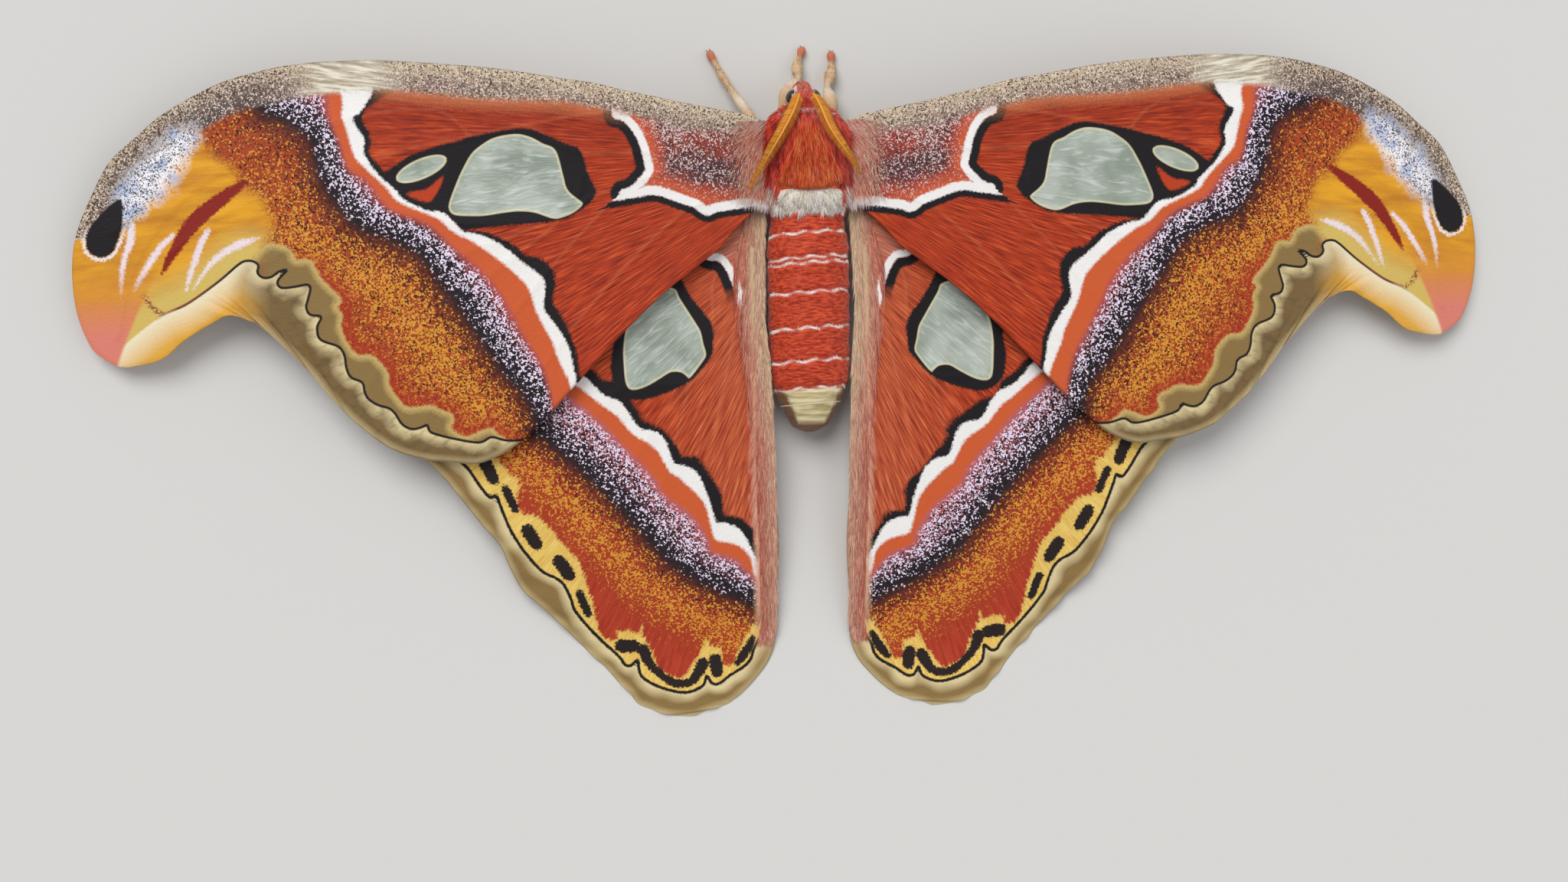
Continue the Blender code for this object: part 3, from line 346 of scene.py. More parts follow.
def piece(name, points, faces, material, marks=None, uv=None, uv_name="Lie"):
    """One mesh object from points in millimetres, a list of face arrays and float marks for the shader."""
    mesh = bpy.data.meshes.new(name)
    flat = np.concatenate([f.ravel() for f in faces]).astype(np.int32)
    totals = np.concatenate([np.full(len(f), f.shape[1]) for f in faces]).astype(np.int32)
    starts = np.concatenate([[0], np.cumsum(totals)[:-1]]).astype(np.int32)
    mesh.vertices.add(len(points))
    mesh.loops.add(len(flat))
    mesh.polygons.add(len(totals))
    world = (np.asarray(points) - (0.0, MIDDLE_Y, 0.0)) * MM
    mesh.vertices.foreach_set("co", world.astype(np.float32).ravel())
    mesh.loops.foreach_set("vertex_index", flat)
    mesh.polygons.foreach_set("loop_start", starts)
    mesh.polygons.foreach_set("loop_total", totals)
    mesh.update(calc_edges=True)
    mesh.validate()
    mesh.polygons.foreach_set("use_smooth", np.ones(len(totals), bool))
    for key, values in (marks or {}).items():
        layer = mesh.attributes.new(key, "FLOAT", "POINT")
        layer.data.foreach_set("value", np.asarray(values, np.float32).ravel())
    if uv is not None:
        layer = mesh.uv_layers.new(name=uv_name)
        layer.data.foreach_set("uv", np.asarray(uv, np.float32)[flat].ravel())
    mesh.materials.append(material)
    obj = placed(name, mesh)
    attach(obj, "root")
    return obj


def grid_faces(index):
    """Quads of a grid of vertex numbers, (i,j) (i+1,j) (i+1,j+1) (i,j+1)."""
    return np.stack([index[:-1, :-1], index[1:, :-1], index[1:, 1:], index[:-1, 1:]], axis=-1).reshape(-1, 4)


def drop_flat(quads):
    """Splits quads that repeat a vertex into triangles, and leaves out any that have shrunk to a line."""
    quads = np.asarray(quads)
    same = [quads[:, i] == quads[:, (i + 1) % 4] for i in range(4)]
    whole = ~(same[0] | same[1] | same[2] | same[3])
    parts = [quads[whole]]
    for i in range(4):
        keep = [k for k in range(4) if k != i]
        only = same[i] & ~np.any([same[k] for k in range(4) if k != i], axis=0)
        parts.append(quads[only][:, keep])
    return [p for p in parts if len(p)]


def compact(points, faces):
    """Leaves out unused points: the points that stay, the faces renumbered and the old numbers."""
    used = np.unique(np.concatenate([f.ravel() for f in faces]))
    renumber = np.zeros(len(points), int)
    renumber[used] = np.arange(len(used))
    return points[used], [renumber[f] for f in faces], used


def ring_index(count, rings):
    """Vertex numbers of rings of points, with the first point of each ring again at its end."""
    index = np.arange(count).reshape(rings, -1)
    return np.concatenate([index, index[:, :1]], axis=1)


def skin(points, rings):
    """Points and faces of a closed skin over rings, the first and the last drawn together to a pole."""
    index = ring_index(len(points), rings)
    index[0], index[-1] = index[0, 0], index[-1, 0]
    return compact(points, drop_flat(grid_faces(index)[:, ::-1]))[:2]


def mirrored(points, faces):
    """The same shape on the other side of the body."""
    return points * (-1, 1, 1), [f[:, ::-1] for f in faces]


# Shader arithmetic

class Wire:
    """A shader socket that can be written into sums; each sign adds one Math node."""

    def __init__(self, graph, socket):
        self.graph = graph
        self.socket = socket

    def __add__(self, other):
        return self.graph.maths("ADD", self, other)

    def __mul__(self, other):
        return self.graph.maths("MULTIPLY", self, other)

    def __sub__(self, other):
        return self.graph.maths("SUBTRACT", self, other)

    def __rsub__(self, other):
        return self.graph.maths("SUBTRACT", other, self)

    def __abs__(self):
        return self.graph.maths("ABSOLUTE", self)

    __radd__, __rmul__ = __add__, __mul__


class Graph:
    """One material's node tree."""

    def __init__(self, name):
        self.material = bpy.data.materials.new(name)
        self.material.use_nodes = True
        self.tree = self.material.node_tree
        self.tree.nodes.clear()
        self.kept = {}

    def put(self, socket, value):
        """Links a wire to a socket, or sets the socket's own value."""
        if isinstance(value, Wire):
            self.tree.links.new(value.socket, socket)
        else:
            socket.default_value = value

    def add(self, kind, settings=None, values=None, out=0):
        """Adds a node of a type with its settings and socket values, and gives one output."""
        node = self.tree.nodes.new(kind)
        for key, value in (settings or {}).items():
            setattr(node, key, value)
        for key, value in (values or {}).items():
            self.put(node.inputs[key], value)
        return Wire(self, node.outputs[out])

    def maths(self, kind, first, second=None):
        """Adds one Math node."""
        values = {0: first} if second is None else {0: first, 1: second}
        return self.add("ShaderNodeMath", {"operation": kind}, values)

    def most(self, first, second):
        """The larger of two values."""
        return self.maths("MAXIMUM", first, second)

    def below(self, value, limit):
        """1 where a value is under a limit, 0 elsewhere."""
        return self.maths("LESS_THAN", value, limit)

    def ramp(self, value, start, end):
        """0 at start, 1 at end, straight between them and held beyond."""
        return self.add("ShaderNodeMapRange", {"clamp": True}, {0: value, 1: start, 2: end, 3: 0.0, 4: 1.0})

    def hump(self, value, centre, half):
        """1 at the centre, falling straight to 0 at half a width away."""
        return self.ramp(abs(value - centre), half, 0.0)

    def mix(self, share, first, second):
        """Colour share of the way from the first to the second."""
        return self.add("ShaderNodeMix", {"data_type": "RGBA"}, {0: share, 6: first, 7: second}, 2)

    def fade(self, value, start, end, first, second):
        """Colour going from the first to the second as a value goes from start to end."""
        return self.mix(self.ramp(value, start, end), first, second)

    def mark(self, name):
        """A float mark stored on the mesh."""
        if name not in self.kept:
            self.kept[name] = self.add("ShaderNodeAttribute", {"attribute_name": name}, None, 2)
        return self.kept[name]

    def place(self):
        """Object coordinates in millimetres."""
        if "place" not in self.kept:
            raw = self.add("ShaderNodeTexCoord", None, None, 3)
            self.kept["place"] = self.add("ShaderNodeVectorMath", {"operation": "SCALE"}, {0: raw, 3: 1000.0})
        return self.kept["place"]

    def scaled(self, vector, factors):
        """A vector with each of its parts multiplied."""
        return self.add("ShaderNodeVectorMath", {"operation": "MULTIPLY"}, {0: vector, 1: factors})

    def lie(self, along, across):
        """The wing's UV map, in millimetres, scaled along and across the lie of the scales."""
        return self.scaled(self.add("ShaderNodeUVMap", {"uv_map": "Lie"}), (along, across, 1.0))

    def plan(self):
        """Distance from the midline and distance towards the head, in millimetres."""
        x, y, _ = self.split(self.place())
        return abs(x), y

    def split(self, vector):
        """The three parts of a vector or colour."""
        node = self.tree.nodes.new("ShaderNodeSeparateXYZ")
        self.put(node.inputs[0], vector)
        return [Wire(self, s) for s in node.outputs]

    def noise(self, vector, scale, detail=2.0, warp=0.0):
        """Soft noise from 0 to 1, mostly near 0.5."""
        return self.add("ShaderNodeTexNoise", None,
                        {"Vector": vector, "Scale": scale, "Detail": detail, "Distortion": warp})

    def cells(self, vector, scale):
        """Three even random numbers, the same all over each cell of a Voronoi pattern."""
        return self.split(self.add("ShaderNodeTexVoronoi", None, {"Vector": vector, "Scale": scale}, 1))

    def shaded(self, colour, **values):
        """Ends the tree in a Principled shader."""
        node = self.tree.nodes.new("ShaderNodeBsdfPrincipled")
        self.put(node.inputs["Base Color"], colour)
        for key, value in values.items():
            self.put(node.inputs[key.replace("_", " ")], value)
        end = self.tree.nodes.new("ShaderNodeOutputMaterial")
        self.tree.links.new(node.outputs[0], end.inputs[0])
        return self.material

    def bump(self, height, strength, size):
        """Normals of a surface raised by a height of the given size in millimetres."""
        values = {"Strength": strength, "Distance": size * MM, "Height": height}
        return self.add("ShaderNodeBump", None, values)


BRICK = tone(186, 60, 20)
BRICK_DEEP = tone(124, 30, 10)
BRICK_PALE = tone(226, 112, 56)
ORANGE = tone(208, 92, 45)
WHITE = tone(244, 240, 236)
LILAC = tone(236, 218, 238)
INK = tone(20, 15, 18)
GOLD_SCALE = tone(218, 150, 48)
RUST = tone(166, 66, 24)
DARK_RED = tone(138, 28, 14)
TAN = tone(140, 112, 64)
CREAM = tone(222, 202, 152)
OCHRE = tone(232, 164, 34)
STRAW = tone(214, 184, 96)
YELLOW = tone(240, 208, 112)
PINK = tone(222, 128, 110)
VEIN_TONE = tone(222, 140, 96)
SCALE = 0.25
FINE_SCALE = 0.19
FURRY = {"Roughness": 0.6, "Sheen_Weight": 0.25, "Sheen_Roughness": 0.4, "Specular_IOR_Level": 0.25}


def scale_dots(g, size):
    """Random numbers for single wing scales, drawn out and bent into short dashes."""
    bend = g.add("ShaderNodeTexNoise", None, {"Vector": g.place(), "Scale": 0.9 / size, "Detail": 0.0}, 1)
    bent = g.add("ShaderNodeVectorMath", {"operation": "MULTIPLY_ADD"},
                 {0: bend, 1: (1.5 * size,) * 3, 2: g.place()})
    return g.cells(bent, 1.0 / size)


def peppered(g, base, dots, first, share, second, other):
    """A base colour with one share of scales in a first colour and another share in a second."""
    out = g.mix(g.below(dots[0], share), base, first)
    return g.mix(g.below(dots[1], other), out, second)


def membrane_and_sheen(g):
    """Clear wing window: grey-green skin with long fine creases, with painted sheen in broad pale patches and
    painted white highlights along the creases.
    """
    crease = g.noise(g.lie(0.2, 0.7), 1.0, 3.0, 1.4)
    # Painted sheen: broad noise patches turn the grey-green skin paler in places.
    painted_sheen = g.noise(g.place(), 0.16, 2.0)
    film_and_sheen = g.fade(painted_sheen, 0.36, 0.64, tone(142, 152, 138), tone(178, 185, 173))
    # Painted highlight: near-white along the creases, which also give the bump height.
    return g.mix(g.ramp(crease, 0.5, 0.78) * 0.6, film_and_sheen, tone(226, 230, 224)), crease


def fore_outer(g, dots, jag):
    """Outer field of a forewing from the orange band to the dark red before the margin."""
    speckle = g.mark("speckle") + jag * 0.6
    core = g.mark("core") + jag * 1.6
    colour = g.fade(speckle, -0.3, 0.3, ORANGE, tone(186, 84, 72))
    ground = g.fade(core, -5.0, -1.8, tone(176, 76, 74), tone(34, 24, 30))
    inner = peppered(g, ground, dots, LILAC, 0.52 * g.ramp(core, 2.2, -1.6) * g.ramp(speckle, 0.0, 1.6),
                     INK, 0.30 * g.ramp(speckle, 0.8, 2.4))
    colour = g.fade(speckle, 0.0, 1.0, colour, inner)
    earth = g.fade(core, 1.0, 5.5, tone(44, 24, 22), RUST)
    y = g.plan()[1]
    low = g.ramp(y, 38.0, 24.0)
    gilt = (0.14 + 0.36 * g.hump(core, 8.5, 6.5) * low + 0.1 * low) * g.ramp(core, 0.6, 4.0)
    beyond = peppered(g, earth, dots, GOLD_SCALE, gilt, tone(70, 24, 16), 0.12 + 0.4 * g.ramp(core, 8.0, 1.0))
    colour = g.fade(core, 0.8, 2.4, colour, beyond)
    brink = g.ramp(g.mark("tan") + jag, -3.2, -0.6) * g.ramp(y, 24.0, 18.0)
    return g.mix(brink * 0.8 * (1.0 - 0.6 * g.below(dots[2], 0.2)), colour, tone(168, 44, 20))


def fore_lobe(g, colour, dots, jag):
    """Golden tip of a forewing with its dark red blaze, white streaks and dusted foot."""
    streaky = g.noise(g.lie(0.1, 0.9), 1.0, 3.0)
    gold = g.fade(streaky, 0.35, 0.7, OCHRE, tone(196, 126, 32))
    field = g.fade(g.mark("wave"), -6.5, -2.0, gold, STRAW)
    colour = g.fade(g.mark("gold") + 2.5 * jag, -1.0, 1.0, colour, field)
    colour = g.fade(g.mark("streak") + 1.1 * jag, 0.15, -0.3, colour, tone(240, 222, 226))
    colour = g.fade(g.mark("blaze") + 0.9 * jag, 0.1, -0.25, colour, DARK_RED)
    dust = g.ramp(g.mark("dust") + 1.2 * jag, 0.7, 0.1) * g.below(dots[0], 0.6)
    return g.mix(dust, colour, tone(146, 70, 50))


def fore_margin(g, colour, jag):
    """Tan border of a forewing, the thin black wave in it and the cream beyond."""
    reach, y = g.plan()
    lobe = g.ramp(reach, 88.0, 95.0)
    edge = g.mark("tan") + jag * 0.8
    border = g.fade(edge, 0.1, 1.3, tone(206, 178, 108), TAN)
    colour = g.mix(g.ramp(edge, -0.25, 0.25) * (1.0 - lobe), colour, border)
    wave = g.mark("wave")
    blotch = g.noise(g.place(), 0.22, 2.0)
    outer = g.fade(wave + 3.0 * (blotch - 0.5), 0.2, 2.2, CREAM, tone(120, 96, 58))
    fleck = g.noise(g.lie(0.5, 1.4), 1.0, 3.0)
    outer = g.mix(g.ramp(fleck, 0.5, 0.7) * 0.5, outer, tone(92, 72, 46))
    outer = g.fade(g.mark("edge"), 1.3, 0.2, outer, tone(186, 164, 118))
    tip = g.fade(wave, 0.5, 4.5, tone(240, 226, 190), tone(226, 168, 62))
    outer = g.mix(lobe, outer, tip)
    colour = g.fade(wave, -0.1, 0.15, colour, outer)
    line = g.ramp(abs(wave), 0.3, 0.12) * g.ramp(reach, 107.0, 103.0)
    colour = g.mix(line, colour, g.fade(reach, 94.0, 100.0, INK, tone(120, 60, 50)))
    fold = g.mark("fold")
    amber = g.fade(y, 16.0, 9.5, tone(216, 140, 52), PINK)
    return g.mix(g.ramp(fold, -0.25, 0.35) * g.ramp(y, 21.0, 14.0), colour, amber)


def fore_base(g, colour, dots, jag):
    """Root patch of a forewing inside the curved white line."""
    ante = g.mark("ante") + jag * 0.5
    stripe = g.mark("stripe") + jag * 0.6
    patch = g.ramp(ante, 0.2, -0.2) * g.ramp(stripe, 0.2, -0.2)
    smudge = g.ramp(g.mark("smudge") + 3.0 * jag, 1.6, -1.0)
    front = g.ramp(g.mark("costa"), -3.5, -0.5)
    lobe = g.hump(g.mark("ante"), -5.5, 4.0) * g.ramp(g.mark("stripe"), -4.0, -8.0)
    cloud = g.noise(g.place(), 0.35, 2.0)
    shade = g.fade(cloud, 0.4, 0.65, tone(158, 58, 44), tone(128, 62, 52))
    shade = g.mix(smudge * 0.7, shade, tone(70, 56, 60))
    light = 0.14 + 0.24 * lobe + 0.22 * smudge + 0.2 * front
    rough = peppered(g, shade, dots, tone(226, 196, 190), light,
                     tone(62, 44, 50), 0.10 + 0.34 * smudge + 0.16 * lobe)
    glow = g.most(g.ramp(ante, -3.4, -1.2), g.ramp(stripe, -3.6, -1.4) * g.ramp(g.mark("reach"), 6.0, 12.0))
    rough = g.mix(glow * (0.95 - 0.5 * g.below(dots[0], 0.16)), rough, tone(204, 88, 54))
    colour = g.mix(patch, colour, rough)
    beside_ante = g.ramp(abs(ante - 1.35), 0.95, 0.6) * g.ramp(stripe, 1.6, 0.2)
    beside_stripe = g.ramp(abs(stripe - 1.25), 0.75, 0.45) * g.ramp(ante, 2.0, 0.6)
    dark = g.most(beside_ante, beside_stripe * g.ramp(g.mark("reach"), 4.0, 8.0))
    colour = g.mix(dark, colour, INK)
    white = g.most(g.ramp(abs(ante), 0.8, 0.5) * g.ramp(stripe, 0.8, 0.2),
                   g.ramp(abs(stripe), 0.9, 0.6) * g.ramp(ante, 0.8, 0.2))
    return g.mix(white, colour, WHITE)


def fore_costa(g, colour, fine, jag, hairy):
    """Grey, peppered and chalky band along the front edge of a forewing."""
    costa = g.mark("costa") + jag * 1.5
    reach, _ = g.plan()
    dusk = g.ramp(reach, 80.0, 92.0)
    grey = g.fade(g.mark("edge"), 0.2, 3.4, tone(206, 184, 152), tone(148, 124, 110))
    grey = g.mix(dusk * g.ramp(g.mark("edge"), 0.6, 5.0), grey, tone(84, 76, 78))
    pepper = peppered(g, grey, fine, tone(224, 206, 188), 0.30, tone(84, 66, 62), 0.22 + 0.24 * dusk)
    chalk = g.ramp(g.hump(reach, 75.0, 10.0), 0.0, 0.6) * (1.0 - 0.5 * g.ramp(reach, 79.0, 85.0))
    pepper = g.mix(chalk, pepper, g.fade(hairy, 0.4, 0.62, tone(168, 154, 128), tone(236, 228, 208)))
    before = g.ramp(costa, -2.5, 0.0) * g.ramp(reach, 28.0, 36.0) * g.ramp(reach, 72.0, 68.0)
    colour = g.mix(before * 0.6, colour, tone(222, 140, 90))
    return g.fade(costa, -0.6, 0.6, colour, pepper)


def fore_tip(g, colour, fine, jag):
    """Pale blue-white patch across the tip of a forewing, partly pale scales and partly a painted satin
    highlight, and the black spot with its pale arc.
    """
    cloud = g.noise(g.place(), 0.35, 2.0)
    # The near-white blue of the patch is partly the pale scales and partly painted highlight.
    ice = g.ramp(g.mark("pale_sheen") + 2.0 * jag + 4.0 * (cloud - 0.5), 1.6, -1.2)
    frost = g.fade(cloud, 0.36, 0.52, tone(196, 208, 236), tone(255, 252, 255))
    dotted = 0.34 * g.ramp(g.mark("costa") + jag * 1.5, -3.5, 0.5)
    colour = g.mix(ice * 0.92, colour, g.mix(g.below(fine[0], dotted), frost, tone(86, 84, 92)))
    spot = g.mark("spot") + 0.5 * jag
    arc = g.ramp(abs(spot + jag - 0.3), 0.42, 0.15) * g.ramp(g.plan()[1], 28.0, 25.0)
    colour = g.mix(arc, colour, tone(238, 226, 220))
    return g.fade(spot, 0.15, -0.2, colour, INK)


def wing_textures(g):
    """Random numbers of single scales, fine noise about 0 that frays edges, and streaks along the wing."""
    return scale_dots(g, SCALE), g.noise(g.place(), 2.6, 2.0) - 0.5, g.noise(g.lie(0.22, 2.6), 1.0, 4.0)


def wing_finish(g, colour, dots, rough, gloss):
    """Adds clear windows, whose colour holds painted sheen and highlights, with a pale rim, a paler underside
    and the nap, and ends the tree.
    """
    glass_and_sheen, crease = membrane_and_sheen(g)
    window = g.mark("window")
    colour = g.fade(window, -0.1, 0.1, colour, glass_and_sheen)
    colour = g.mix(g.hump(window, 0.15, 0.28) * 0.7, colour, tone(232, 218, 168))
    colour = g.mix(g.mark("under") * 0.4, colour, tone(196, 140, 110))
    clear = g.ramp(window, 0.0, 0.2)
    nap = g.noise(g.lie(1.2, 5.0), 1.0, 2.0) + 0.6 * dots[2]
    height = nap * (1.0 - clear) + clear * crease * 2.4
    return g.shaded(colour, Roughness=rough - gloss * clear, Normal=g.bump(height, 0.55, 0.16),
                    Sheen_Weight=0.04, Sheen_Roughness=0.5, Specular_IOR_Level=0.25)


def fore_material():
    """Scales of a forewing, painted from the red ground up to the tip."""
    g = Graph("forewing_scales")
    dots, jag, hairy = wing_textures(g)
    fine = scale_dots(g, FINE_SCALE)
    red = g.fade(hairy, 0.34, 0.56, BRICK_DEEP, BRICK)
    red = g.mix(g.ramp(hairy, 0.56, 0.74) * 0.7, red, BRICK_PALE)
    red = g.mix(g.ramp(g.mark("costa"), -9.0, -2.0) * 0.45, red, BRICK_DEEP)
    colour = g.mix(g.ramp(g.mark("vein"), 0.4, 0.05) * 0.16, red, VEIN_TONE)
    colour = fore_base(g, colour, fine, jag)
    colour = g.fade(g.mark("dark") + jag * 0.7, -0.2, 0.2, colour, INK)
    colour = g.fade(g.mark("wedge") + jag * 0.5, -0.2, 0.2, colour, BRICK)
    colour = g.fade(g.mark("ink") + jag * 1.2, -0.25, 0.25, colour, INK)
    colour = g.fade(g.mark("band_in") + jag * 0.8, -0.15, 0.2, colour, WHITE)
    outer = fore_lobe(g, fore_outer(g, dots, jag), dots, jag)
    colour = g.fade(g.mark("band_out") + jag * 0.7, -0.2, 0.3, colour, outer)
    colour = fore_margin(g, colour, jag)
    colour = fore_costa(g, colour, fine, jag, hairy)
    return wing_finish(g, fore_tip(g, colour, fine, jag), dots, 0.62, 0.36)


def hind_base(g, colour, jag, hairy):
    """Rosy root patch of a hindwing inside its white line, and the dark ring about the window."""
    y = g.plan()[1]
    ante = g.mark("ante") + jag * 0.5
    rosy = g.fade(hairy, 0.4, 0.7, tone(176, 84, 62), tone(214, 150, 122))
    colour = g.fade(ante, 0.3, -0.3, colour, rosy)
    colour = g.mix(g.ramp(abs(ante - 1.4), 1.0, 0.6) * g.ramp(y, 12.0, 15.0), colour, INK)
    colour = g.mix(g.ramp(abs(ante), 0.75, 0.45) * g.ramp(y, 9.5, 11.0), colour, WHITE)
    return g.fade(g.mark("dark") + jag * 0.7, -0.2, 0.2, colour, INK)


def hind_outer(g, dots, jag, hairy):
    """Outer field of a hindwing from the orange band to the plain red before the margin."""
    speckle = g.mark("speckle") + jag * 0.6
    core = g.mark("core") + jag * 1.6
    outer = g.fade(speckle, -0.3, 0.3, ORANGE, tone(192, 96, 96))
    ground = g.fade(core, -5.5, -1.0, tone(176, 92, 96), tone(38, 28, 34))
    inner = peppered(g, ground, dots, LILAC, 0.5 * g.ramp(core, 1.8, -2.4) * g.ramp(speckle, 0.0, 1.4),
                     INK, 0.32 * g.ramp(speckle, 0.6, 2.2))
    outer = g.fade(speckle, 0.0, 1.0, outer, inner)
    earth = g.fade(core, 1.0, 5.0, tone(50, 28, 26), tone(168, 58, 26))
    beyond = peppered(g, earth, dots, GOLD_SCALE, 0.06 + 0.44 * g.hump(core, 6.5, 5.5),
                      tone(70, 26, 20), 0.45 * g.ramp(core, 6.5, 0.5))
    outer = g.fade(core, 0.4, 2.2, outer, beyond)
    plain = g.fade(hairy, 0.3, 0.7, tone(160, 42, 20), tone(188, 66, 38))
    return g.fade(core + jag * 3.0, 9.5, 13.5, outer, plain)


def hind_margin(g, colour, jag, hairy, notch):
    """Yellow field, tan border with its black wave and dark ovals, and the pale strip beside the abdomen."""
    reach, y = g.plan()
    edge = g.mark("yellow") + jag * 1.2 + 2.2 * (hairy - 0.5)
    yellow = g.fade(hairy, 0.35, 0.65, YELLOW, tone(226, 178, 84))
    colour = g.fade(edge, -0.2, 0.3, colour, yellow)
    wave = g.mark("wave")
    outside = g.fade(wave + 3.0 * (notch - 0.5), 0.4, 2.0, CREAM, TAN)
    outside = g.fade(g.mark("edge"), 1.2, 0.1, outside, tone(190, 168, 120))
    colour = g.fade(wave, -0.1, 0.15, colour, outside)
    colour = g.fade(abs(wave + 0.3 * jag), 0.36, 0.18, colour, INK)
    colour = g.fade(g.mark("oval") + jag * 0.9 + 0.6 * (hairy - 0.5), 0.3, 0.05, colour, tone(34, 22, 20))
    strip = g.fade(hairy, 0.35, 0.7, tone(196, 136, 108), tone(226, 184, 152))
    colour = g.mix(g.ramp(reach + jag, 10.3, 9.3) * g.ramp(y, -48.0, -38.0), colour, strip)
    return g.mix(g.ramp(reach + jag, 10.6, 9.4) * g.ramp(y, 2.0, 12.0), colour, tone(206, 184, 142))


def hind_material():
    """Scales of a hindwing, painted from the red ground to the yellow and tan margin."""
    g = Graph("hindwing_scales")
    dots, jag, hairy = wing_textures(g)
    red = g.fade(hairy, 0.34, 0.56, BRICK_DEEP, tone(194, 68, 26))
    near = g.fade(hairy, 0.35, 0.62, tone(158, 58, 34), tone(208, 108, 66))
    red = g.mix(g.ramp(g.plan()[0], 26.0, 13.0) * 0.7, red, near)
    red = g.mix(g.ramp(hairy, 0.56, 0.72) * 0.7, red, tone(224, 128, 78))
    colour = g.mix(g.ramp(g.mark("vein"), 0.4, 0.05) * 0.16, red, VEIN_TONE)
    colour = hind_base(g, colour, jag, hairy)
    band_in = g.mark("band_in") + jag * 0.9
    notch = g.noise(g.place(), 0.17, 1.0)
    colour = g.fade(band_in + 1.5 + 5.0 * (notch - 0.5) + 1.6 * (hairy - 0.5), -0.3, 0.3, colour, INK)
    colour = g.fade(band_in, -0.15, 0.2, colour, WHITE)
    outer = hind_outer(g, dots, jag, hairy)
    colour = g.fade(g.mark("band_out") + jag * 0.7, -0.2, 0.3, colour, outer)
    return wing_finish(g, hind_margin(g, colour, jag, hairy, notch), dots, 0.64, 0.38)


# Wings

def fore_level(x, y):
    """Middle of a forewing: 11.7 + 10 s (1-s) - 8.2 s^1.6 - k (38-y)^2, with s = x / 120.

    k is 0.0012 behind Y 38 and 0.004 in front of it.
    """
    s = np.abs(x) / HALF_SPAN
    return (11.7 + 10.0 * s * (1 - s) - 8.2 * s ** 1.6 - 0.0012 * np.maximum(38 - y, 0) ** 2
            - 0.004 * np.maximum(y - 38, 0) ** 2)


def hind_level(x, y):
    """Middle of a hindwing: 9.6 (1 - t^2.2) - 0.0003 x^2 with t = (31-y) / 76.5, eased out on the ground."""
    t = np.maximum(31 - y, 0) / 76.5
    raw = 9.6 * (1 - t ** 2.2) - 0.0003 * x ** 2
    eased = np.where(raw > 1, raw, np.where(raw < -1, 0.0, (raw + 1) ** 2 / 4))
    return eased + WING_THICK / 2


def wing_marks(x, y, lead, trail, lines, loops, strokes):
    """Distances to the outline and to a wing's lines with a side, closed loops and strokes."""
    marks = {"edge": distance(x, y, np.vstack([spline(lead), spline(trail)[::-1]]))}
    for key, (curve, corners) in lines.items():
        marks[key] = side(x, y, spline(curve), corners)
    for key, (loop, step) in loops.items():
        marks[key] = region(x, y, spline(loop, step, True))
    for key, (curves, step) in strokes.items():
        marks[key] = np.min([distance(x, y, spline(curve, step)) for curve in curves], axis=0)
    return marks


def fore_marks(x, y):
    """Every float mark of a forewing at the given points."""
    marks = wing_marks(x, y, FORE_LEAD, FORE_TRAIL, FORE_LINES, FORE_LOOPS, FORE_STROKES)
    spot = oval(*FORE_EYE_SPOT)
    marks["window"] = np.maximum(marks["window"], region(x, y, spot))
    marks["dark"] = np.maximum(marks["dark"], SPOT_RIM - distance(x, y, spot, True))
    marks["reach"] = np.hypot(x - 7, y - 38)
    marks["frill"] = np.clip((x - 48) / 10, 0, 1) * np.clip((104 - x) / 6, 0, 1) * np.clip((24 - y) / 4, 0, 1)
    return marks


def hind_marks(x, y):
    """Every float mark of a hindwing at the given points."""
    marks = wing_marks(x, y, HIND_LEAD, HIND_TRAIL, HIND_LINES, HIND_LOOPS, HIND_STROKES)
    marks["frill"] = np.clip((x - 12) / 5, 0, 1) * np.clip((-8 - y) / 5, 0, 1)
    return marks


def wing_relief(data, run):
    """Veins V exp(-(d/s)^2) up, pleats P (1 - exp(-(d/w)^2)) down between them, and waves along the rim.

    The second value is the thickness, which is less in the windows and rounds off to nothing at the edge.
    """
    relief = VEIN_RISE * np.exp(-(data["vein"] / VEIN_SPREAD) ** 2)
    pleats = 1 - np.exp(-(data["vein"] / PLEAT_SPREAD) ** 2)
    relief -= PLEAT * pleats * np.clip(data["edge"] / PLEAT_FADE, 0, 1)
    rim = np.clip(1 - data["edge"] / RIM_DEPTH, 0, 1) ** 1.5 * data.pop("frill")
    relief += rim * sum(size * np.sin(run * rate + start) for size, rate, start in RIM_WAVES)
    deep = np.clip(data["window"] / SINK_FADE, 0, 1)
    thick = (WING_THICK - 2 * WINDOW_SINK * deep) * np.sqrt(np.clip(data["edge"] / EDGE_ROUND, 0, 1))
    return relief, thick


